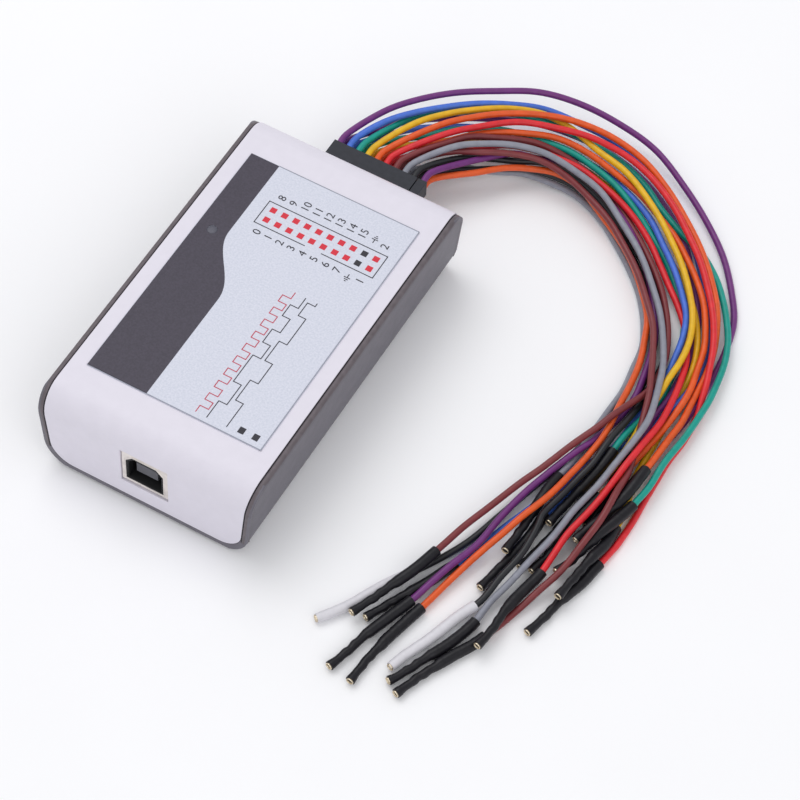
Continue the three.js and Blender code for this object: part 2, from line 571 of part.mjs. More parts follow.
    route: [
      [14, 70, 10], [19, 75, 8.4], [25, 79, 7], [32, 81.5, 5.8], [40, 81.5, 4.6], [49, 79.5, 3.4],
      [58, 75, 2.4], [65.5, 69.5, 1.6], [71.5, 64, 1.1], [76.5, 58, 1], [80, 52.5, 1], [82.5, 46.5, 1],
      [83.5, 40, 1], [84, 33.5, 1.4], [84, 27, 3.4], [83.5, 20, 4.6], [83, 13, 3.8], [81, 6.5, 2.8],
      [80, 1, 2.8], [79, -5, 2.8], [79.5, -10, 3.6], [79.5, -17.5, 4], [78, -24.5, 3], [77, -31, 1.8],
      [74.5, -37, 1.4], [72, -45.5, 1.4], [69.5, -52.5, 1.4], [68.5, -56.5, 1.4],
    ],
  },
  {
    name: 'purple_lower', jacket: PURPLE_SILICONE, sleeve: SLEEVE_BLACK, column: 0, row: 0,
    route: [
      [-7, 68, 8.6], [-3, 74, 8], [2, 79, 7.2], [8.5, 84, 6.4], [15.5, 88.5, 5.6], [24.5, 93, 4.6],
      [34.5, 95, 3.6], [44, 95, 2.6], [53.5, 92.5, 1.8], [62.5, 87.5, 1.2], [70.5, 80.5, 1],
      [76.5, 72.5, 1], [81.5, 65, 1], [85, 58, 1], [87, 50.5, 1], [87.5, 43.5, 1.2], [87.5, 36.5, 2.2],
      [86.5, 30, 2.8], [86.5, 24, 1.8], [86, 17.5, 1.2], [85.5, 11, 1.4], [85, 5, 1.4], [84, -2, 1.4],
    ],
  },
  {
    name: 'blue_lower', jacket: BLUE_SILICONE, sleeve: SLEEVE_BLACK, column: 1, row: 0,
    route: [
      [-4, 68, 8.6], [0, 73, 8.2], [5.5, 77.5, 7.8], [12.5, 82, 7.4], [20, 85.5, 6.8], [28.5, 87.5, 6],
      [36.5, 88, 5], [43.5, 87.5, 4.2], [52, 85, 3.4], [59, 81.5, 2.8], [66, 76, 2.8], [72, 71, 2.8],
      [77, 65.5, 2.8], [81, 60, 2.8], [83, 54.5, 2.8], [84, 48.5, 2.6], [84.5, 43, 1.8],
      [84, 37.5, 1.1], [83.5, 30.5, 1], [83.5, 23.5, 1], [83, 16, 1], [82, 9, 1], [81, 2, 1],
      [80, -6, 1.3], [78.5, -12, 1.4], [76.5, -20, 1.4], [75, -28, 1.4],
    ],
  },
  {
    name: 'teal_lower', jacket: TEAL_SILICONE, sleeve: SLEEVE_BLACK, column: 2, row: 0,
    route: [
      [-1.5, 67.5, 8.8], [4, 72, 8.8], [8.5, 77, 8.8], [14, 81, 8.6], [19.5, 84, 8.2],
      [25.5, 85.5, 7.6], [33, 86.5, 6.6], [41.5, 86.5, 5.4], [49, 85.5, 4.4], [56.5, 82.5, 3.4],
      [63.5, 78.5, 2.4], [70, 73.5, 1.6], [75, 68, 1.1], [79.5, 62.5, 1], [82.5, 55.5, 1],
      [84, 49.5, 1], [84.5, 43.5, 1], [85, 36.5, 1.8], [85, 28.5, 2.8], [84.5, 21, 4.4],
      [84, 13.5, 3.4], [83, 7, 1.4], [82.5, 0, 1.4], [81, -7, 1.4],
    ],
  },
  {
    name: 'yellow_lower', jacket: YELLOW_SILICONE, sleeve: SLEEVE_BLACK, column: 3, row: 0,
    route: [
      [1.5, 67.8, 8.6], [6.5, 72.5, 8], [12, 78, 7.2], [19, 82.5, 6.2], [28, 86, 5], [37, 87.5, 3.8],
      [47, 86, 2.8], [56.5, 82.5, 1.8], [66.5, 76.5, 1.2], [75, 70, 1], [81.5, 63.5, 1], [86, 56, 1],
      [88.5, 48.5, 1], [89, 41, 1], [89.5, 34, 1], [90, 27.5, 1], [90.5, 20.5, 1], [91, 13.5, 1],
      [92, 8, 1.2], [92.5, 3, 1.5], [92.5, -4.5, 2.8], [92, -13.5, 3.4], [91, -23, 3.8],
    ],
  },
  {
    name: 'orange_lower', jacket: ORANGE_SILICONE, sleeve: SLEEVE_BLACK, column: 4, row: 0,
    route: [
      [3.8, 67.5, 9.7], [9, 71.5, 10], [13.5, 76.5, 10], [19, 81.5, 9.6], [25.5, 85.5, 8.8],
      [32, 88.5, 8], [40, 89, 7.2], [47, 88, 6.4], [55.5, 86, 5.4], [62.5, 82.5, 4.8], [68, 79.5, 4.4],
      [73, 75.5, 4.4], [78, 71, 4.4], [82.5, 66, 4.2], [86, 60, 4], [88.5, 54, 3.4], [89.5, 48.5, 2.8],
      [90.5, 42, 2.8], [90.5, 35.5, 2.8], [90, 29, 2.8], [89, 23, 2.8], [88, 17, 2.8], [87, 11.5, 2.8],
      [85.5, 6.5, 2.6], [84.5, 2, 2], [83, -4, 1.5], [82, -11, 1.4], [80.5, -18, 1.4],
    ],
  },
  {
    name: 'red_lower', jacket: RED_SILICONE, sleeve: SLEEVE_BLACK, column: 5, row: 0,
    route: [
      [6, 67.3, 9.2], [11, 71.5, 9], [16.5, 76.5, 8.4], [23, 81.5, 7.6], [30.5, 84, 6.6],
      [39, 85, 5.6], [47.5, 83, 4.6], [56, 79.5, 3.6], [63, 75.5, 3], [68.5, 71, 2.8], [73, 67, 2.8],
      [77.5, 63, 2.8], [81.5, 58.5, 2.8], [84.5, 53.5, 2.8], [86.5, 49, 3], [88, 43, 3.6],
      [89, 36.5, 4], [89.5, 29.5, 4.2], [89, 22.5, 4.2], [88.5, 15, 4], [87.5, 7.5, 3.6],
      [86.5, -0.5, 3.2], [85.5, -8, 2.8], [85, -14.5, 2.2], [84.5, -19.5, 1.6], [83.5, -24.5, 1.4],
      [82.5, -30.5, 1.4], [82, -37, 1.4], [81, -42.5, 1.4],
    ],
  },
  {
    name: 'brown_lower', jacket: BROWN_SILICONE, sleeve: SLEEVE_BLACK, column: 6, row: 0,
    route: [
      [8.6, 66.9, 10.2], [13, 70.2, 10.6], [18.5, 73, 10.6], [24.5, 77, 9.8], [31, 80, 8.6],
      [38, 80, 7.4], [45.5, 78, 6.2], [52.5, 75, 5.4], [59, 70.5, 4.8], [65, 65.5, 4.6], [71, 59, 4.6],
      [75.5, 53.5, 4.6], [79, 47, 4.6], [82, 40.5, 4.8], [84.5, 34.5, 5], [86, 28.5, 4.6],
      [87, 23.5, 3.4], [88.5, 18, 3], [90, 12, 3.4], [91, 5.5, 3.6], [91, -1.5, 3.6], [90, -8.5, 3.4],
      [88.5, -16.5, 3], [86, -23.5, 2.4], [84, -29.5, 1.6], [82.5, -35, 1.4], [80.5, -41, 1.4],
      [77.5, -46.5, 1.4], [74.5, -52.5, 1.4], [71.5, -61, 1.4],
    ],
  },
  {
    name: 'grey_lower', jacket: GREY_SILICONE, sleeve: SLEEVE_BLACK, column: 7, row: 0,
    route: [
      [11, 66.5, 8.3], [16, 70.6, 6.9], [22, 74.5, 5.6], [28, 79, 4.6], [35, 81, 3.6],
      [41.5, 81.5, 2.8], [49.5, 78.5, 2], [56.5, 73.5, 1.3], [63.5, 67.5, 1], [69, 61.5, 1],
      [73, 55, 1], [75.5, 49, 1], [76.5, 42.5, 1], [77.5, 35.5, 1], [77.5, 28, 1], [77.5, 21, 1],
      [77, 13.5, 1], [76.5, 7, 1.3], [76.5, 1, 1.4], [77, -6, 1.4], [77.5, -12.5, 1.4],
      [77.5, -18.5, 1.6],
    ],
  },
  {
    name: 'black_lower', jacket: BLACK_SILICONE, sleeve: SLEEVE_WHITE, column: 8, row: 0,
    route: [
      [13.6, 66.6, 8], [18, 70.9, 6.7], [29, 79.5, 4.6], [36, 81.5, 3.6], [43, 81, 2.8], [52, 77.5, 2],
      [59.5, 72.5, 1.4], [66.5, 66.5, 1.1], [71.5, 60, 1], [76, 54, 1], [78.5, 47.5, 1], [80, 41.5, 1],
      [80.5, 34.5, 1], [79.5, 28, 1], [78, 21, 1], [76, 13.5, 1], [73.5, 5.5, 1], [71, -3, 1.1],
      [69, -10.5, 1.2], [67, -18, 1.2], [64.5, -24.5, 1.3], [60.5, -33, 1.4], [57, -39.5, 1.4],
      [53, -47.5, 1.4], [48.5, -54, 1.4],
    ],
  },
  {
    name: 'purple_pwm', jacket: PURPLE_SILICONE, sleeve: SLEEVE_BLACK, column: 9, row: 1,
    route: [
      [17.5, 70, 10], [21.5, 75, 8.6], [26, 79.5, 7], [31, 83, 5.8], [37.5, 84, 4.8], [45, 82.5, 3.8],
      [53.5, 78, 3.2], [61, 72.5, 2.8], [68, 65.5, 2.8], [73, 58.5, 2.8], [76.5, 52.5, 2.8],
      [78.5, 46.5, 2.8], [80, 40, 2.8], [81, 33.5, 2.8], [80, 27, 2.8], [78.5, 21, 2.8],
      [76, 13.5, 2.8], [73.5, 6, 2.8], [71.5, -1.5, 2.8], [70, -10.5, 2.8], [69, -19.5, 2.8],
      [66.5, -27, 2.7], [64.5, -33, 2], [63, -38.5, 1.5], [61, -44.5, 1.4], [59, -51, 1.4],
      [57.5, -57.5, 1.4], [56, -62.5, 1.4],
    ],
  },
  {
    name: 'orange_pwm', jacket: ORANGE_SILICONE, sleeve: SLEEVE_BLACK, column: 9, row: 0,
    route: [
      [19.5, 70, 7.8], [24, 75.5, 7], [29, 79.5, 6.2], [34, 82, 5.2], [41, 82, 4.2], [48, 79, 3.4],
      [55.5, 74.5, 3], [62.5, 69, 2.8], [68.5, 62.5, 2.8], [73, 56.5, 2.8], [75.5, 50, 2.8],
      [77.5, 43.5, 2.8], [78.5, 36.5, 2.8], [79, 29.5, 2.9], [79.5, 23, 2.8], [79.5, 16, 2.8],
      [79, 8.5, 2.8], [78, 1, 2.8], [76, -6.5, 2.8], [73.5, -14, 2.8], [71, -21, 2.6],
      [68.5, -29.5, 2], [66.5, -38, 1.5], [65, -44, 1.4], [63.5, -50.5, 1.4], [62.5, -56.5, 1.4],
      [62, -63.5, 1.4],
    ],
  },
];

// The route as a smooth curve, which starts straight out of the plug.
function laidCurve({ column, row, route }) {
  const x = columnX(column);
  const z = rowZ(row);
  const exit = [[x, PLUG_BACK + LEAD_GAP, z], [x, PLUG_BACK + LEAD_GAP + LEAD_STRAIGHT, z]];
  return new THREE.CatmullRomCurve3([...exit, ...route].map((point) => new THREE.Vector3(...point)));
}

// Evenly spaced nodes on every laid lead, with the radius of what is there.
function layNodes() {
  const nodes = [];
  LEADS.forEach((lead, owner) => {
    const curve = laidCurve(lead);
    const length = curve.getLength();
    const count = Math.round(length / SETTLE_SPACING);
    for (let i = 0; i <= count; i++) {
      const inSleeve = length * (1 - i / count) < SLEEVE_LENGTH;
      nodes.push({
        owner,
        laid: curve.getPointAt(i / count),
        offset: new THREE.Vector3(),
        radius: (inSleeve ? SLEEVE_DIAMETER : LEAD_DIAMETER) / 2,
        fixed: i < SETTLE_FIXED_NODES,
      });
    }
  });
  return nodes;
}

// Pairs of nodes on different leads that are near enough to touch soon.
function nearPairs(nodes, places) {
  const reach = SLEEVE_DIAMETER + SETTLE_CLEARANCE + SETTLE_PAIR_MARGIN;
  const pairs = [];
  for (let i = 0; i < nodes.length; i++) {
    for (let j = i + 1; j < nodes.length; j++) {
      if (nodes[i].owner === nodes[j].owner) continue;
      if (places[i].distanceTo(places[j]) < reach) pairs.push([i, j]);
    }
  }
  return pairs;
}

// Half of every overlap is pushed onto each of the two nodes.
function pushApart(nodes, places, pairs) {
  const push = nodes.map(() => new THREE.Vector3());
  const hits = nodes.map(() => 0);
  const between = new THREE.Vector3();
  for (const [i, j] of pairs) {
    between.subVectors(places[i], places[j]);
    const distance = Math.max(between.length(), 1e-6);
    const overlap = nodes[i].radius + nodes[j].radius + SETTLE_CLEARANCE - distance;
    if (overlap <= 0) continue;
    between.multiplyScalar(overlap / 2 / distance);
    push[i].add(between);
    push[j].sub(between);
    hits[i] += 1;
    hits[j] += 1;
  }
  nodes.forEach((node, i) => {
    if (!node.fixed && hits[i] > 0) node.offset.addScaledVector(push[i], SETTLE_PUSH / hits[i]);
  });
}

// Neighbouring nodes on a lead share their offset, so the lead stays smooth.
function evenOut(nodes) {
  const before = nodes.map((node) => node.offset.clone());
  nodes.forEach((node, i) => {
    if (node.fixed) return;
    const last = nodes[i + 1]?.owner !== node.owner;
    const mean = before[i - 1].clone().add(before[last ? i : i + 1]).multiplyScalar(0.5);
    node.offset.lerp(mean, SETTLE_EVEN);
  });
}

function keepAboveTable(nodes) {
  for (const node of nodes) {
    node.offset.z = Math.max(node.offset.z, node.radius - node.laid.z);
  }
}

// The settled curve of every lead, in the order of LEADS.
function settledCurves() {
  const nodes = layNodes();
  const placesNow = () => nodes.map((node) => node.laid.clone().add(node.offset));
  let pairs = [];
  for (let round = 0; round < SETTLE_ROUNDS; round++) {
    const places = placesNow();
    if (round % SETTLE_PAIR_ROUNDS === 0) pairs = nearPairs(nodes, places);
    pushApart(nodes, places, pairs);
    if (round < SETTLE_ROUNDS - SETTLE_BARE_ROUNDS) evenOut(nodes);
    keepAboveTable(nodes);
  }
  const places = placesNow();
  return LEADS.map((lead, owner) => new THREE.CatmullRomCurve3(
    places.filter((place, i) => nodes[i].owner === owner)));
}

// The stretch of a curve between two distances along it.
class Stretch extends THREE.Curve {
  constructor(curve, from, to) {
    super();
    const length = curve.getLength();
    this.curve = curve;
    this.start = from / length;
    this.span = (to - from) / length;
  }

  getPoint(t, target = new THREE.Vector3()) {
    return target.copy(this.curve.getPointAt(Math.min(this.start + this.span * t, 1)));
  }
}

function tube(path, diameter, steps) {
  const section = new THREE.Shape();
  for (let i = 0; i < LEAD_SIDES; i++) {
    const angle = 2 * Math.PI * (i + 0.5) / LEAD_SIDES;
    const point = [Math.cos(angle) * diameter / 2, Math.sin(angle) * diameter / 2];
    if (i === 0) section.moveTo(...point);
    else section.lineTo(...point);
  }
  section.closePath();
  return solid(new THREE.ExtrudeGeometry(section, { steps, extrudePath: path, bevelEnabled: false }));
}

function leadWire(curve) {
  const end = curve.getLength() - SLEEVE_LENGTH - LEAD_GAP;
  return tube(new Stretch(curve, 0, end), LEAD_DIAMETER, LEAD_STEPS);
}

// Heat-shrink sleeve with the crimp socket inside it, open at the tip.
function leadSleeve(curve) {
  const length = curve.getLength();
  const sleeve = tube(new Stretch(curve, length - SLEEVE_LENGTH, length), SLEEVE_DIAMETER, SLEEVE_STEPS);
  const tip = curve.getPointAt(1);
  const inward = tip.clone().sub(curve.getPointAt(1 - CRIMP_DEPTH / length)).normalize();
  const bore = new THREE.CylinderGeometry(CRIMP_BORE / 2, CRIMP_BORE / 2, 2 * CRIMP_DEPTH, LEAD_SIDES);
  const turn = new THREE.Quaternion().setFromUnitVectors(new THREE.Vector3(0, 1, 0), inward);
  return sleeve.subtract(solid(bore.applyQuaternion(turn).translate(tip.x, tip.y, tip.z)));
}

// ---------------------------------------------------------------- fasteners and feet

function caseScrew(x, y) {
  const head = cylinderZ(x, y, SCREW_HEAD, BASE, HEAD_TOP, SCREW_SIDES);
  const shank = cylinderZ(x, y, SCREW_SHANK, HEAD_TOP - JOIN_OVERLAP, SCREW_END, SCREW_SIDES);
  return head.add(shank);
}

const foot = (x, y) => cylinderZ(x, y, FOOT_DIAMETER, 0, FOOT_THICKNESS, FOOT_SIDES);

// ---------------------------------------------------------------- assembly

const analyzer = new THREE.Group();

function place(name, shape, material, parent = analyzer) {
  const mesh = new THREE.Mesh(toGeometry(shape), material.clone());
  mesh.name = name;
  parent.add(mesh);
}

place('lower_shell', lowerShell(), GREY_ABS);
place('upper_shell', upperShell(), WHITE_ABS);
place('top_label', topLabel(), LABEL_FILM);
place('status_led', lightPipe(), LIGHT_PIPE);
place('circuit_board', circuitBoard(), BOARD_GREEN);
for (const [name, layout] of Object.entries(CHIP_SIZES)) place(name, chip(layout), CHIP_BLACK);
place('usb_socket_shell', usbSocketShell(), NICKEL);
place('usb_socket_insert', usbSocketInsert(), CHIP_BLACK);
place('pin_header', pinHeader(), BRASS_GOLD);
bossPlaces.forEach(([x, y], i) => place(`case_screw_${i + 1}`, caseScrew(x, y), STEEL));
footPlaces.forEach(([x, y], i) => place(`rubber_foot_${i + 1}`, foot(x, y), RUBBER));
place('channel_connector', plug(0, CHANNEL_COLUMNS), HOUSING_BLACK);
place('pwm_connector', plug(CHANNEL_COLUMNS, COLUMNS), HOUSING_BLACK);

const curves = settledCurves();
LEADS.forEach(({ name, jacket, sleeve }, i) => {
  place(`lead_${name}`, leadWire(curves[i]), jacket);
  place(`sleeve_${name}`, leadSleeve(curves[i]), sleeve);
});

export default analyzer;
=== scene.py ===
# The looks of a USB logic analyzer around its CAD frame: case, printed label, socket,
# plugs and test leads. Sizes are in millimetres and turned into metres by MM.

import math

import bmesh
import bpy
import numpy as np
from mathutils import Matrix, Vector


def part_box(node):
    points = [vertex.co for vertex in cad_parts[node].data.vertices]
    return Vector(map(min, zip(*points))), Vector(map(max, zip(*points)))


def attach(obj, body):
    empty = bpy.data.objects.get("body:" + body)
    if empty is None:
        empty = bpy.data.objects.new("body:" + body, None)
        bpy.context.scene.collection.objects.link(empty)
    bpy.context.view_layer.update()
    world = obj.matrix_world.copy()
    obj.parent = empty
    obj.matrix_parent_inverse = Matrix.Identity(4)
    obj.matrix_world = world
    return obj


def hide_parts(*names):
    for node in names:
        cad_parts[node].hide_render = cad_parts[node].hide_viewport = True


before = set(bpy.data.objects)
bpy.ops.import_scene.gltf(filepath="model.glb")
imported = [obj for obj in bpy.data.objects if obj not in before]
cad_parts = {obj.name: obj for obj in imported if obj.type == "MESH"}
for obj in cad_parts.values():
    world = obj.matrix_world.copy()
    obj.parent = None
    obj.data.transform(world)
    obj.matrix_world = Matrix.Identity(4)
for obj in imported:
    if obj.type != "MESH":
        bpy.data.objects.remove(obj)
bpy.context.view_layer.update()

MM = 0.001

# ---------------------------------------------------------------- places from the frame


def low(node):
    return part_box(node)[0] / MM


def high(node):
    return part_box(node)[1] / MM


CASE_FRONT = low("lower_shell").y
CASE_TOP = high("upper_shell").z
TRAY_BACK = high("lower_shell").y
TRAY_TOP = high("lower_shell").z
TRAY_BOTTOM = low("lower_shell").z
HALF_WIDTH = high("lower_shell").x
LABEL_TOP = high("top_label").z
LABEL_LEFT, LABEL_RIGHT = low("top_label").x, high("top_label").x
LABEL_FRONT, LABEL_BACK = low("top_label").y, high("top_label").y
PLUG_BACK = high("channel_connector").y
HEADER_LEFT = low("pin_header").x
HEADER_BOTTOM = low("pin_header").z
PITCH = (high("pin_header").x - HEADER_LEFT) / 10

# ---------------------------------------------------------------- driving sizes

LEAD_DIAMETER = 1.6
LEAD_GAP = 0.3
LEAD_STRAIGHT = 3
SLEEVE_LENGTH = 25
SLEEVE_DIAMETER = 2.5

# how the laid leads are pushed apart where they cross
SETTLE_SPACING = 1.5
SETTLE_ROUNDS = 300
SETTLE_BARE_ROUNDS = 12
SETTLE_CLEARANCE = 0.3
SETTLE_PUSH = 1.2
SETTLE_EVEN = 0.3
SETTLE_PAIR_ROUNDS = 20
SETTLE_PAIR_MARGIN = 2.5
SETTLE_FIXED_NODES = 2
CURVE_DIVISIONS = 200

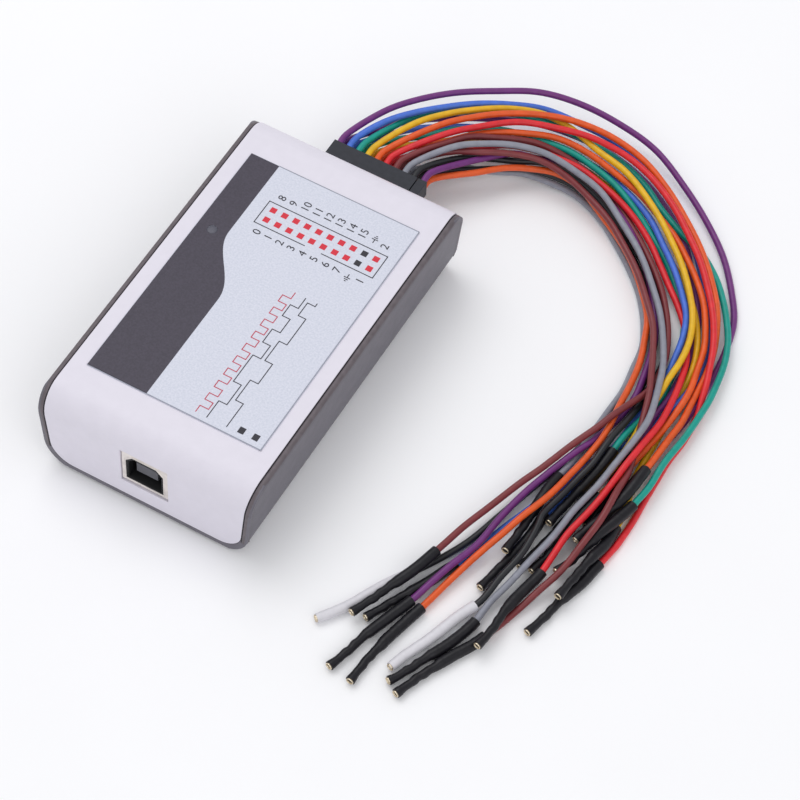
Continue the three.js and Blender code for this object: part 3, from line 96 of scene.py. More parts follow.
# Each lead: name, colour, column and row of its hole in the plugs, and the points that it
# lies along, which end at the tip of its sleeve.
LEADS = [
    ("purple_upper", "purple", 0, 1, [
        (-7, 72.5, 11.5), (-2.5, 79.5, 11), (4, 86.5, 10.5), (12, 92.5, 10), (21, 98.5, 9),
        (30.5, 101.5, 7.5), (41.5, 102, 6), (52, 100.5, 4.5), (63, 95, 3), (72, 89, 2), (80, 82, 1.3),
        (86.5, 73.5, 1), (90.5, 66.5, 1), (92.5, 58.5, 1), (93.5, 51, 1), (94, 42, 1), (93.5, 34, 1),
        (92.5, 27.5, 1.1), (92.5, 22.5, 1.4), (92, 15.5, 1.5), (91, 7.5, 1.5), (90, 0.5, 1.5),
        (88.5, -7, 1.5),
    ]),
    ("blue_upper", "blue", 1, 1, [
        (-6, 68, 11.5), (-1.5, 74.5, 11.3), (3.5, 80, 11), (10, 86, 10.5), (17, 91, 9.5),
        (24, 95.5, 7.5), (33, 97.5, 5.5), (42.5, 98, 4), (52.5, 96, 2.8), (62.5, 90.5, 1.8),
        (71, 83, 1.2), (78.5, 74, 1), (84.5, 65.5, 1), (88, 57.5, 1), (89.5, 49.5, 1), (90, 40.5, 1),
        (88.5, 32, 1), (86.5, 25, 1), (83.5, 18.5, 2.5), (80.5, 12, 2.5), (77.5, 4.5, 1),
        (74.5, -4.5, 1), (71.5, -13, 1), (69, -22, 1.2), (66.5, -27.5, 1.4), (64, -33.5, 1.4),
        (60, -40, 1.4), (56, -47.5, 1.4),
    ]),
    ("teal_upper", "teal", 2, 1, [
        (-4, 69, 10.5), (-1.5, 75, 9.5), (4.5, 81.5, 8.8), (12.5, 86.5, 8.6), (21, 91, 8), (30, 93, 7),
        (40.5, 93, 6), (48, 92, 5.2), (55, 89.5, 4.4), (61.5, 85.5, 3.7), (69, 82, 3), (75, 79.5, 2.9),
        (81, 75, 2.8), (85.5, 70, 2.8), (89, 65, 2.8), (92, 59.5, 2.8), (94, 53.5, 2.8), (95, 47, 2.9),
        (95.5, 40, 3), (95.5, 30, 3.4), (94.5, 21, 3.8), (94, 13, 3.8), (92.5, 6.5, 3.6),
        (91.5, 0.5, 3.4), (89.5, -7, 2.4), (88, -12.5, 1.6), (86.5, -16, 1.4),
    ]),
    ("yellow_upper", "yellow", 3, 1, [
        (1, 72, 12), (5.5, 78.5, 11.5), (12, 85, 10.8), (18.5, 90, 9.8), (25.5, 93, 8.8), (33, 93, 8),
        (42, 90.5, 7.4), (49, 89, 6.8), (56.5, 85.5, 6), (63, 81.5, 5.2), (69, 76.5, 4.8),
        (74, 71.5, 4.6), (78.5, 65.5, 4.5), (82, 59.5, 4.5), (84.5, 53.5, 4.5), (85.5, 47.5, 4.4),
        (85.5, 41, 4), (86, 35, 3.4), (86.5, 29.5, 2.8), (86.5, 23.5, 2.7), (85.5, 16.5, 2.7),
        (85, 10.5, 2.7), (84.5, 5, 2.4), (83, -0.5, 1.6), (82, -7.5, 1.4), (81, -13.5, 1.4),
        (80, -19, 1.4),
    ]),
    ("orange_upper", "orange", 4, 1, [
        (6.5, 74.5, 12.3), (11.5, 80.5, 12), (18, 86.5, 11.4), (26, 91.5, 10.6), (34, 94.5, 9.6),
        (43, 95.5, 8.4), (52, 94, 7.2), (60.5, 90, 6), (68.5, 84.5, 5), (75, 79, 4.5), (80.5, 73, 4.3),
        (85.5, 66.5, 4), (88.5, 61, 3.4), (91, 54.5, 2.8), (92.5, 47.5, 2.8), (93, 40.5, 2.8),
        (93.5, 33.5, 2.8), (93, 27.5, 2.8), (92.5, 20.5, 2.8), (92, 14.5, 3), (91.5, 7.5, 3),
        (90, 0, 2.6), (88, -7.5, 1.5),
    ]),
    ("red_upper", "red", 5, 1, [
        (9, 72.5, 12.5), (15, 79.5, 12), (22, 86, 11.2), (30, 89.5, 10.4), (38, 92, 9.3),
        (47.5, 92.5, 8), (55.5, 90.5, 7.2), (64, 86, 6.4), (71, 80.5, 5.8), (77, 75, 5.4), (82, 69, 5),
        (86.5, 62.5, 4.8), (90, 55.5, 4.6), (92, 49.5, 4), (93.5, 44, 2.9), (95, 38, 1.3),
        (95.5, 30.5, 1), (95, 24, 1), (95, 17.5, 1), (95, 11, 1), (95, 5, 1), (94.5, -1.5, 1.1),
        (94, -6.5, 1.3), (93.5, -10, 1.4), (93, -15, 1.4), (91.5, -21, 1.4), (90.5, -27, 1.4),
        (89, -33, 1.4),
    ]),
    ("brown_upper", "brown", 6, 1, [
        (10, 71, 10.8), (13.5, 76, 10.2), (19, 79.5, 9.4), (25.5, 83, 8), (32.5, 85.5, 6.6),
        (41, 85, 5.4), (50, 82, 4.2), (58.5, 77, 3.4), (66, 71, 3), (72, 65, 2.8), (76.5, 59, 2.8),
        (80, 53, 2.8), (82.5, 47, 2.8), (83.5, 40.5, 2.8), (83, 35.5, 3), (81, 29, 3.4), (78.5, 21, 3.4),
        (76, 14.5, 3.2), (73.5, 7, 3), (70, -1, 3), (67, -9.5, 3), (64.5, -17, 2.9), (63, -23, 2.7),
        (62, -27, 2.6), (60.5, -32, 2.2), (58, -38, 1.5), (56, -44, 1.4), (54, -49, 1.4),
    ]),
    ("grey_upper", "grey", 7, 1, [
        (13, 70, 13), (18.5, 75, 12.3), (24.5, 79, 11.4), (31.5, 81.5, 10.2), (39.5, 81.5, 8.8),
        (47.5, 80, 7.6), (55.5, 75.5, 6.2), (63.5, 70, 5.2), (70, 63.5, 4.8), (75.5, 57, 4.6),
        (80, 49.5, 4.6), (83, 43, 4.6), (85, 35.5, 5), (86.5, 28, 5.2), (86.5, 20.5, 5), (86, 13, 4.6),
        (85.5, 6, 4.4), (84, -1.5, 4), (83, -10, 3.8), (81.5, -17, 3.4), (80, -24.5, 2.8),
        (78.5, -30.5, 2), (78, -37, 1.6), (76.5, -42.5, 1.4), (74.5, -47.5, 1.4), (71.5, -53.5, 1.4),
        (68.5, -58.5, 1.4),
    ]),
    ("black_upper", "black", 8, 1, [
        (14, 70, 10), (19, 75, 8.4), (25, 79, 7), (32, 81.5, 5.8), (40, 81.5, 4.6), (49, 79.5, 3.4),
        (58, 75, 2.4), (65.5, 69.5, 1.6), (71.5, 64, 1.1), (76.5, 58, 1), (80, 52.5, 1), (82.5, 46.5, 1),
        (83.5, 40, 1), (84, 33.5, 1.4), (84, 27, 3.4), (83.5, 20, 4.6), (83, 13, 3.8), (81, 6.5, 2.8),
        (80, 1, 2.8), (79, -5, 2.8), (79.5, -10, 3.6), (79.5, -17.5, 4), (78, -24.5, 3), (77, -31, 1.8),
        (74.5, -37, 1.4), (72, -45.5, 1.4), (69.5, -52.5, 1.4), (68.5, -56.5, 1.4),
    ]),
    ("purple_lower", "purple", 0, 0, [
        (-7, 68, 8.6), (-3, 74, 8), (2, 79, 7.2), (8.5, 84, 6.4), (15.5, 88.5, 5.6), (24.5, 93, 4.6),
        (34.5, 95, 3.6), (44, 95, 2.6), (53.5, 92.5, 1.8), (62.5, 87.5, 1.2), (70.5, 80.5, 1),
        (76.5, 72.5, 1), (81.5, 65, 1), (85, 58, 1), (87, 50.5, 1), (87.5, 43.5, 1.2), (87.5, 36.5, 2.2),
        (86.5, 30, 2.8), (86.5, 24, 1.8), (86, 17.5, 1.2), (85.5, 11, 1.4), (85, 5, 1.4), (84, -2, 1.4),
    ]),
    ("blue_lower", "blue", 1, 0, [
        (-4, 68, 8.6), (0, 73, 8.2), (5.5, 77.5, 7.8), (12.5, 82, 7.4), (20, 85.5, 6.8), (28.5, 87.5, 6),
        (36.5, 88, 5), (43.5, 87.5, 4.2), (52, 85, 3.4), (59, 81.5, 2.8), (66, 76, 2.8), (72, 71, 2.8),
        (77, 65.5, 2.8), (81, 60, 2.8), (83, 54.5, 2.8), (84, 48.5, 2.6), (84.5, 43, 1.8),
        (84, 37.5, 1.1), (83.5, 30.5, 1), (83.5, 23.5, 1), (83, 16, 1), (82, 9, 1), (81, 2, 1),
        (80, -6, 1.3), (78.5, -12, 1.4), (76.5, -20, 1.4), (75, -28, 1.4),
    ]),
    ("teal_lower", "teal", 2, 0, [
        (-1.5, 67.5, 8.8), (4, 72, 8.8), (8.5, 77, 8.8), (14, 81, 8.6), (19.5, 84, 8.2),
        (25.5, 85.5, 7.6), (33, 86.5, 6.6), (41.5, 86.5, 5.4), (49, 85.5, 4.4), (56.5, 82.5, 3.4),
        (63.5, 78.5, 2.4), (70, 73.5, 1.6), (75, 68, 1.1), (79.5, 62.5, 1), (82.5, 55.5, 1),
        (84, 49.5, 1), (84.5, 43.5, 1), (85, 36.5, 1.8), (85, 28.5, 2.8), (84.5, 21, 4.4),
        (84, 13.5, 3.4), (83, 7, 1.4), (82.5, 0, 1.4), (81, -7, 1.4),
    ]),
    ("yellow_lower", "yellow", 3, 0, [
        (1.5, 67.8, 8.6), (6.5, 72.5, 8), (12, 78, 7.2), (19, 82.5, 6.2), (28, 86, 5), (37, 87.5, 3.8),
        (47, 86, 2.8), (56.5, 82.5, 1.8), (66.5, 76.5, 1.2), (75, 70, 1), (81.5, 63.5, 1), (86, 56, 1),
        (88.5, 48.5, 1), (89, 41, 1), (89.5, 34, 1), (90, 27.5, 1), (90.5, 20.5, 1), (91, 13.5, 1),
        (92, 8, 1.2), (92.5, 3, 1.5), (92.5, -4.5, 2.8), (92, -13.5, 3.4), (91, -23, 3.8),
    ]),
    ("orange_lower", "orange", 4, 0, [
        (3.8, 67.5, 9.7), (9, 71.5, 10), (13.5, 76.5, 10), (19, 81.5, 9.6), (25.5, 85.5, 8.8),
        (32, 88.5, 8), (40, 89, 7.2), (47, 88, 6.4), (55.5, 86, 5.4), (62.5, 82.5, 4.8), (68, 79.5, 4.4),
        (73, 75.5, 4.4), (78, 71, 4.4), (82.5, 66, 4.2), (86, 60, 4), (88.5, 54, 3.4), (89.5, 48.5, 2.8),
        (90.5, 42, 2.8), (90.5, 35.5, 2.8), (90, 29, 2.8), (89, 23, 2.8), (88, 17, 2.8), (87, 11.5, 2.8),
        (85.5, 6.5, 2.6), (84.5, 2, 2), (83, -4, 1.5), (82, -11, 1.4), (80.5, -18, 1.4),
    ]),
    ("red_lower", "red", 5, 0, [
        (6, 67.3, 9.2), (11, 71.5, 9), (16.5, 76.5, 8.4), (23, 81.5, 7.6), (30.5, 84, 6.6),
        (39, 85, 5.6), (47.5, 83, 4.6), (56, 79.5, 3.6), (63, 75.5, 3), (68.5, 71, 2.8), (73, 67, 2.8),
        (77.5, 63, 2.8), (81.5, 58.5, 2.8), (84.5, 53.5, 2.8), (86.5, 49, 3), (88, 43, 3.6),
        (89, 36.5, 4), (89.5, 29.5, 4.2), (89, 22.5, 4.2), (88.5, 15, 4), (87.5, 7.5, 3.6),
        (86.5, -0.5, 3.2), (85.5, -8, 2.8), (85, -14.5, 2.2), (84.5, -19.5, 1.6), (83.5, -24.5, 1.4),
        (82.5, -30.5, 1.4), (82, -37, 1.4), (81, -42.5, 1.4),
    ]),
    ("brown_lower", "brown", 6, 0, [
        (8.6, 66.9, 10.2), (13, 70.2, 10.6), (18.5, 73, 10.6), (24.5, 77, 9.8), (31, 80, 8.6),
        (38, 80, 7.4), (45.5, 78, 6.2), (52.5, 75, 5.4), (59, 70.5, 4.8), (65, 65.5, 4.6), (71, 59, 4.6),
        (75.5, 53.5, 4.6), (79, 47, 4.6), (82, 40.5, 4.8), (84.5, 34.5, 5), (86, 28.5, 4.6),
        (87, 23.5, 3.4), (88.5, 18, 3), (90, 12, 3.4), (91, 5.5, 3.6), (91, -1.5, 3.6), (90, -8.5, 3.4),
        (88.5, -16.5, 3), (86, -23.5, 2.4), (84, -29.5, 1.6), (82.5, -35, 1.4), (80.5, -41, 1.4),
        (77.5, -46.5, 1.4), (74.5, -52.5, 1.4), (71.5, -61, 1.4),
    ]),
    ("grey_lower", "grey", 7, 0, [
        (11, 66.5, 8.3), (16, 70.6, 6.9), (22, 74.5, 5.6), (28, 79, 4.6), (35, 81, 3.6),
        (41.5, 81.5, 2.8), (49.5, 78.5, 2), (56.5, 73.5, 1.3), (63.5, 67.5, 1), (69, 61.5, 1),
        (73, 55, 1), (75.5, 49, 1), (76.5, 42.5, 1), (77.5, 35.5, 1), (77.5, 28, 1), (77.5, 21, 1),
        (77, 13.5, 1), (76.5, 7, 1.3), (76.5, 1, 1.4), (77, -6, 1.4), (77.5, -12.5, 1.4),
        (77.5, -18.5, 1.6),
    ]),
    ("black_lower", "black", 8, 0, [
        (13.6, 66.6, 8), (18, 70.9, 6.7), (29, 79.5, 4.6), (36, 81.5, 3.6), (43, 81, 2.8), (52, 77.5, 2),
        (59.5, 72.5, 1.4), (66.5, 66.5, 1.1), (71.5, 60, 1), (76, 54, 1), (78.5, 47.5, 1), (80, 41.5, 1),
        (80.5, 34.5, 1), (79.5, 28, 1), (78, 21, 1), (76, 13.5, 1), (73.5, 5.5, 1), (71, -3, 1.1),
        (69, -10.5, 1.2), (67, -18, 1.2), (64.5, -24.5, 1.3), (60.5, -33, 1.4), (57, -39.5, 1.4),
        (53, -47.5, 1.4), (48.5, -54, 1.4),
    ]),
    ("purple_pwm", "purple", 9, 1, [
        (17.5, 70, 10), (21.5, 75, 8.6), (26, 79.5, 7), (31, 83, 5.8), (37.5, 84, 4.8), (45, 82.5, 3.8),
        (53.5, 78, 3.2), (61, 72.5, 2.8), (68, 65.5, 2.8), (73, 58.5, 2.8), (76.5, 52.5, 2.8),
        (78.5, 46.5, 2.8), (80, 40, 2.8), (81, 33.5, 2.8), (80, 27, 2.8), (78.5, 21, 2.8),
        (76, 13.5, 2.8), (73.5, 6, 2.8), (71.5, -1.5, 2.8), (70, -10.5, 2.8), (69, -19.5, 2.8),
        (66.5, -27, 2.7), (64.5, -33, 2), (63, -38.5, 1.5), (61, -44.5, 1.4), (59, -51, 1.4),
        (57.5, -57.5, 1.4), (56, -62.5, 1.4),
    ]),
    ("orange_pwm", "orange", 9, 0, [
        (19.5, 70, 7.8), (24, 75.5, 7), (29, 79.5, 6.2), (34, 82, 5.2), (41, 82, 4.2), (48, 79, 3.4),
        (55.5, 74.5, 3), (62.5, 69, 2.8), (68.5, 62.5, 2.8), (73, 56.5, 2.8), (75.5, 50, 2.8),
        (77.5, 43.5, 2.8), (78.5, 36.5, 2.8), (79, 29.5, 2.9), (79.5, 23, 2.8), (79.5, 16, 2.8),
        (79, 8.5, 2.8), (78, 1, 2.8), (76, -6.5, 2.8), (73.5, -14, 2.8), (71, -21, 2.6),
        (68.5, -29.5, 2), (66.5, -38, 1.5), (65, -44, 1.4), (63.5, -50.5, 1.4), (62.5, -56.5, 1.4),
        (62, -63.5, 1.4),
    ]),
]

# ---------------------------------------------------------------- camera

CAMERA_PLACE = (232.6, -381.9, 624.5)
CAMERA_TURN_DEG = (34.947, -1.893, 29.708)
CAMERA_LENS = 149.4
CAMERA_SENSOR = 36


def add_camera():
    data = bpy.data.cameras.new("camera")
    data.lens = CAMERA_LENS
    data.sensor_width = CAMERA_SENSOR
    data.clip_start = 0.01
    data.clip_end = 20
    camera = bpy.data.objects.new("camera", data)
    camera.location = Vector(CAMERA_PLACE) * MM
    camera.rotation_euler = [math.radians(angle) for angle in CAMERA_TURN_DEG]
    bpy.context.scene.collection.objects.link(camera)
    bpy.context.scene.camera = camera


# ---------------------------------------------------------------- lead routes


def column_x(column):
    return HEADER_LEFT + (column + 0.5) * PITCH


def row_z(row):
    return HEADER_BOTTOM + (row + 0.5) * PITCH


def along(points, times):
    """Places on the centripetal Catmull-Rom curve through points, for times from 0 to 1."""
    points = np.asarray(points, float)
    first = 2 * points[0] - points[1]
    last = 2 * points[-1] - points[-2]
    padded = np.vstack([first, points, last])
    place = np.clip(times, 0, 1) * (len(points) - 1)
    span = np.minimum(place.astype(int), len(points) - 2)
    part = (place - span)[:, None]
    p0, p1, p2, p3 = (padded[span + k] for k in range(4))
    d0, d1, d2 = (
        np.sqrt(np.linalg.norm(b - a, axis=1))[:, None] for a, b in ((p0, p1), (p1, p2), (p2, p3))
    )
    t1 = ((p1 - p0) / d0 - (p2 - p0) / (d0 + d1) + (p2 - p1) / d1) * d1
    t2 = ((p2 - p1) / d1 - (p3 - p1) / (d1 + d2) + (p3 - p2) / d2) * d1
    square = -3 * p1 + 3 * p2 - 2 * t1 - t2
    cube = 2 * p1 - 2 * p2 + t1 + t2
    return p1 + part * (t1 + part * (square + part * cube))


def measured(points):
    """The curve's length, and the lengths at evenly spaced times."""
    times = np.linspace(0, 1, CURVE_DIVISIONS + 1)
    chords = np.linalg.norm(np.diff(along(points, times), axis=0), axis=1)
    lengths = np.concatenate([[0], np.cumsum(chords)])
    return lengths[-1], lengths, times


def at_lengths(points, wanted):
    """Places at the wanted distances along the curve through points."""
    _, lengths, times = measured(points)
    return along(points, np.interp(wanted, lengths, times))


def lay_nodes():
    """Evenly spaced nodes on every laid lead: places, radii, owners and which are fixed."""
    places, radii, owners, fixed = [], [], [], []
    for owner, (_, _, column, row, route) in enumerate(LEADS):
        x, z = column_x(column), row_z(row)
        start = PLUG_BACK + LEAD_GAP
        points = [(x, start, z), (x, start + LEAD_STRAIGHT, z), *route]
        length, _, _ = measured(points)
        count = round(length / SETTLE_SPACING)
        share = np.arange(count + 1) / count
        in_sleeve = length * (1 - share) < SLEEVE_LENGTH
        places.append(at_lengths(points, share * length))
        radii.append(np.where(in_sleeve, SLEEVE_DIAMETER, LEAD_DIAMETER) / 2)
        owners.append(np.full(count + 1, owner))
        fixed.append(np.arange(count + 1) < SETTLE_FIXED_NODES)
    return np.vstack(places), np.concatenate(radii), np.concatenate(owners), np.concatenate(fixed)


def near_pairs(places, owners):
    """Pairs of nodes on different leads that are near enough to touch soon."""
    reach = SLEEVE_DIAMETER + SETTLE_CLEARANCE + SETTLE_PAIR_MARGIN
    pairs = []
    for i in range(len(places) - 1):
        away = np.linalg.norm(places[i + 1:] - places[i], axis=1)
        found = i + 1 + np.nonzero((away < reach) & (owners[i + 1:] != owners[i]))[0]
        pairs.append(np.stack([np.full(len(found), i), found], axis=1))
    return np.vstack(pairs)


def settled_leads():
    """The settled nodes of every lead, in the order of LEADS, in millimetres."""
    laid, radii, owners, fixed = lay_nodes()
    offset = np.zeros_like(laid)
    free = ~fixed
    first = np.concatenate([[True], owners[1:] != owners[:-1]])
    last = np.concatenate([owners[1:] != owners[:-1], [True]])
    pairs = None
    for turn in range(SETTLE_ROUNDS):
        places = laid + offset
        if turn % SETTLE_PAIR_ROUNDS == 0:
            pairs = near_pairs(places, owners)
        a, b = pairs[:, 0], pairs[:, 1]
        between = places[a] - places[b]
        distance = np.maximum(np.linalg.norm(between, axis=1), 1e-6)
        overlap = radii[a] + radii[b] + SETTLE_CLEARANCE - distance
        hit = overlap > 0
        a, b = a[hit], b[hit]
        half = between[hit] * (overlap[hit] / 2 / distance[hit])[:, None]
        push = np.zeros_like(laid)
        hits = np.bincount(a, minlength=len(laid)) + np.bincount(b, minlength=len(laid))
        np.add.at(push, a, half)
        np.add.at(push, b, -half)
        offset[free] += (push * (SETTLE_PUSH / np.maximum(hits, 1))[:, None])[free]
        if turn < SETTLE_ROUNDS - SETTLE_BARE_ROUNDS:
            before = np.where(first[:, None], offset, np.roll(offset, 1, axis=0))
            after = np.where(last[:, None], offset, np.roll(offset, -1, axis=0))
            evened = offset + SETTLE_EVEN * ((before + after) / 2 - offset)
            offset[free] = evened[free]
        offset[:, 2] = np.maximum(offset[:, 2], radii - laid[:, 2])
    places = laid + offset
    return [places[owners == owner] for owner in range(len(LEADS))]


# ---------------------------------------------------------------- materials


def tone(red, green, blue):
    """A colour given as it looks on a screen, 0 to 255, as linear light."""
    def linear(value):
        value /= 255
        return value / 12.92 if value <= 0.04045 else ((value + 0.055) / 1.055) ** 2.4
    return linear(red), linear(green), linear(blue)


def surface(name, colour, rough, metal=0.0, mottle=0.06, mottle_mm=3.0, grain_mm=0.25,
            grain_depth_mm=0.01, rough_swing=0.08, coat=0.0, sheen=0.0, gloss=0.5, second=None):
    """A moulded, printed or metal surface: two close tones in soft patches, a fine grain in
    relief, and a roughness that varies with the grain."""
    material = bpy.data.materials.new(name)
    material.use_nodes = True
    nodes, links = material.node_tree.nodes, material.node_tree.links
    shader = nodes["Principled BSDF"]
    shader.inputs["Metallic"].default_value = metal
    shader.inputs["Coat Weight"].default_value = coat
    shader.inputs["Sheen Weight"].default_value = sheen
    shader.inputs["Specular IOR Level"].default_value = gloss
    place = nodes.new("ShaderNodeTexCoord")
    patches = nodes.new("ShaderNodeTexNoise")
    patches.inputs["Scale"].default_value = 1 / (mottle_mm * MM)
    patches.inputs["Detail"].default_value = 4
    links.new(place.outputs["Object"], patches.inputs["Vector"])
    ramp = nodes.new("ShaderNodeValToRGB")
    darker = second or [channel * (1 - mottle) for channel in colour]
    ramp.color_ramp.elements[0].color = (*darker, 1)
    ramp.color_ramp.elements[0].position = 0.35
    ramp.color_ramp.elements[1].color = (*[min(channel * (1 + mottle), 1) for channel in colour], 1)
    ramp.color_ramp.elements[1].position = 0.65
    links.new(patches.outputs["Fac"], ramp.inputs["Fac"])
    links.new(ramp.outputs["Color"], shader.inputs["Base Color"])
    grain = nodes.new("ShaderNodeTexNoise")
    grain.inputs["Scale"].default_value = 1 / (grain_mm * MM)
    grain.inputs["Detail"].default_value = 3
    links.new(place.outputs["Object"], grain.inputs["Vector"])
    swing = nodes.new("ShaderNodeMapRange")
    swing.inputs["To Min"].default_value = rough - rough_swing
    swing.inputs["To Max"].default_value = rough + rough_swing
    links.new(grain.outputs["Fac"], swing.inputs["Value"])
    links.new(swing.outputs["Result"], shader.inputs["Roughness"])
    relief = nodes.new("ShaderNodeBump")
    relief.inputs["Distance"].default_value = grain_depth_mm * MM
    relief.inputs["Strength"].default_value = 0.6
    links.new(grain.outputs["Fac"], relief.inputs["Height"])
    links.new(relief.outputs["Normal"], shader.inputs["Normal"])
    return material


LEAD_TONES = {
    "purple": tone(110, 44, 118),
    "blue": tone(70, 112, 210),
    "teal": tone(0, 150, 136),
    "yellow": tone(226, 178, 26),
    "orange": tone(224, 88, 30),
    "red": tone(218, 36, 46),
    "brown": tone(122, 48, 52),
    "grey": tone(138, 140, 152),
    "black": tone(30, 31, 36),
}

MATERIALS = {
    "shell_plastic": surface("shell_plastic", tone(224, 220, 231), 0.45, mottle=0.012,
                             grain_depth_mm=0.006, gloss=0.4),
    "tray_plastic": surface("tray_plastic", tone(108, 105, 114), 0.5, mottle=0.06, grain_mm=0.3,
                            grain_depth_mm=0.02, gloss=0.35),
    "tray_rim": surface("tray_rim", tone(100, 92, 97), 0.42, mottle=0.12, mottle_mm=1.5, gloss=0.35),
    # near-black tone painted in as the shade in the narrow gap between cover and tray
    "seam_shadow": surface("seam_shadow", tone(44, 40, 46), 0.7, mottle=0.2, mottle_mm=1.2, gloss=0.2),
    "label_film": surface("label_film", tone(216, 218, 231), 0.4, mottle=0.0, mottle_mm=0.45,
                          second=tone(202, 206, 220), grain_mm=0.2, grain_depth_mm=0.004, gloss=0.4),
    "label_dark": surface("label_dark", tone(66, 61, 74), 0.42, mottle=0.12, mottle_mm=0.5,
                          grain_mm=0.2, grain_depth_mm=0.004, gloss=0.3),
    "label_ink": surface("label_ink", tone(50, 49, 57), 0.5, mottle=0.08, mottle_mm=0.6, gloss=0.3),
    "label_red": surface("label_red", tone(212, 44, 62), 0.45, mottle=0.06, mottle_mm=0.6, gloss=0.3),
    "label_line": surface("label_line", tone(140, 144, 158), 0.45, mottle=0.08, mottle_mm=0.8),
    "label_rose": surface("label_rose", tone(190, 60, 82), 0.45, mottle=0.06, mottle_mm=0.6, gloss=0.3),
    "light_pipe": surface("light_pipe", tone(84, 84, 96), 0.3, mottle=0.05, mottle_mm=0.8, gloss=0.3),
    "circuit_board": surface("circuit_board", tone(28, 92, 58), 0.4, mottle=0.15, mottle_mm=1.2,
                             grain_mm=0.4, grain_depth_mm=0.02, coat=0.2),
    "chip_epoxy": surface("chip_epoxy", tone(40, 40, 43), 0.55, mottle=0.1, mottle_mm=0.8),
    "nickel_plate": surface("nickel_plate", tone(226, 219, 214), 0.34, metal=0.7, mottle=0.08,
                            mottle_mm=1.5, grain_mm=0.35, grain_depth_mm=0.006),
    "socket_plastic": surface("socket_plastic", tone(14, 14, 17), 0.5, mottle=0.12, mottle_mm=0.9,
                              gloss=0.2),
    "tongue_plastic": surface("tongue_plastic", tone(80, 80, 88), 0.45, mottle=0.1, mottle_mm=0.9),
    "gold_pins": surface("gold_pins", tone(222, 184, 100), 0.3, metal=1.0, mottle=0.08, mottle_mm=1),
    "plug_housing": surface("plug_housing", tone(44, 46, 54), 0.48, mottle=0.1, mottle_mm=1.4,
                            grain_mm=0.3, grain_depth_mm=0.015, gloss=0.3),
    "screw_steel": surface("screw_steel", tone(150, 150, 154), 0.35, metal=1.0, mottle=0.08,
                           mottle_mm=1),
    "foot_rubber": surface("foot_rubber", tone(46, 46, 48), 0.85, mottle=0.12, mottle_mm=1),
    "sleeve_black": surface("sleeve_black", tone(22, 21, 27), 0.38, mottle=0.2, mottle_mm=1.1,
                            grain_mm=0.8, grain_depth_mm=0.12, gloss=0.3),
    "sleeve_white": surface("sleeve_white", tone(218, 216, 222), 0.42, mottle=0.03, mottle_mm=1.2,
                            grain_mm=0.35, grain_depth_mm=0.02),
    "crimp_tin": surface("crimp_tin", tone(222, 208, 184), 0.3, metal=0.9, mottle=0.1, mottle_mm=0.6),
}
for colour_name, colour_tone in LEAD_TONES.items():
    MATERIALS[f"silicone_{colour_name}"] = surface(
        f"silicone_{colour_name}", colour_tone, 0.36, mottle=0.08, mottle_mm=1.6,
        grain_mm=0.4, grain_depth_mm=0.012, gloss=0.45)


# ---------------------------------------------------------------- pieces


def add_piece(name, data, material, body="case"):
    piece = bpy.data.objects.new(name, data)
    bpy.context.scene.collection.objects.link(piece)
    data.materials.clear()
    data.materials.append(MATERIALS[material])
    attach(piece, body)
    return piece


def mesh_from(name, vertices, faces, smooth=True):
    """A mesh from places in millimetres."""
    mesh = bpy.data.meshes.new(name)
    mesh.from_pydata([tuple(c * MM for c in v) for v in vertices], [], faces)
    work = bmesh.new()
    work.from_mesh(mesh)
    bmesh.ops.recalc_face_normals(work, faces=work.faces)
    work.to_mesh(mesh)
    work.free()
    if smooth:
        mesh.shade_smooth()
    return mesh


def ring_faces(rings, sides, closed=False):
    """Quads between neighbouring rings, and from the last to the first if closed."""
    faces = []
    for i in range(rings if closed else rings - 1):
        this, after = i * sides, (i + 1) % rings * sides
        for k in range(sides):
            n = (k + 1) % sides
            faces.append((this + k, this + n, after + n, after + k))
    return faces


def refined(name, node, material, round_mm, segments=3, body="case", sharp_deg=30):
    """A CAD node's own shape with its sharp edges rounded, which stands for that node."""
    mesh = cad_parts[node].data.copy()
    work = bmesh.new()
    work.from_mesh(mesh)
    bmesh.ops.remove_doubles(work, verts=work.verts, dist=0.002 * MM)
    bmesh.ops.dissolve_limit(
        work, angle_limit=math.radians(0.6), verts=work.verts, edges=work.edges)
    work.to_mesh(mesh)
    work.free()
    piece = add_piece(name, mesh, material, body)
    bevel = piece.modifiers.new("rounding", "BEVEL")
    bevel.width = round_mm * MM
    bevel.segments = segments
    bevel.limit_method = "ANGLE"
    bevel.angle_limit = math.radians(sharp_deg)
    bevel.use_clamp_overlap = True
    mesh.shade_smooth()
    mesh.set_sharp_from_angle(angle=math.radians(sharp_deg))
    bevel.harden_normals = True
    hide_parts(node)
    return piece


def prism(name, outline, bottom, top):
    count = len(outline)
    vertices = [(x, y, bottom) for x, y in outline] + [(x, y, top) for x, y in outline]
    faces = [tuple(range(count))[::-1], tuple(range(count, 2 * count))]
    faces += [(i, (i + 1) % count, count + (i + 1) % count, count + i) for i in range(count)]
    return mesh_from(name, vertices, faces, smooth=False)


def plate(name, outline, bottom, top, material):
    """A flat piece with the outline's points as its corners."""
    return add_piece(name, prism(name, outline, bottom, top), material)


def bars(name, boxes, bottom, top, material):
    """Flat rectangles [x0, x1, y0, y1] as one piece."""
    vertices, faces = [], []
    for x0, x1, y0, y1 in boxes:
        base = len(vertices)
        corners = [(x0, y0), (x1, y0), (x1, y1), (x0, y1)]
        vertices += [(x, y, z) for z in (bottom, top) for x, y in corners]
        faces += [(base + 3, base + 2, base + 1, base), (base + 4, base + 5, base + 6, base + 7)]
        faces += [(base + i, base + (i + 1) % 4, base + 4 + (i + 1) % 4, base + 4 + i) for i in range(4)]
    return add_piece(name, mesh_from(name, vertices, faces, smooth=False), material)


# ---------------------------------------------------------------- test leads

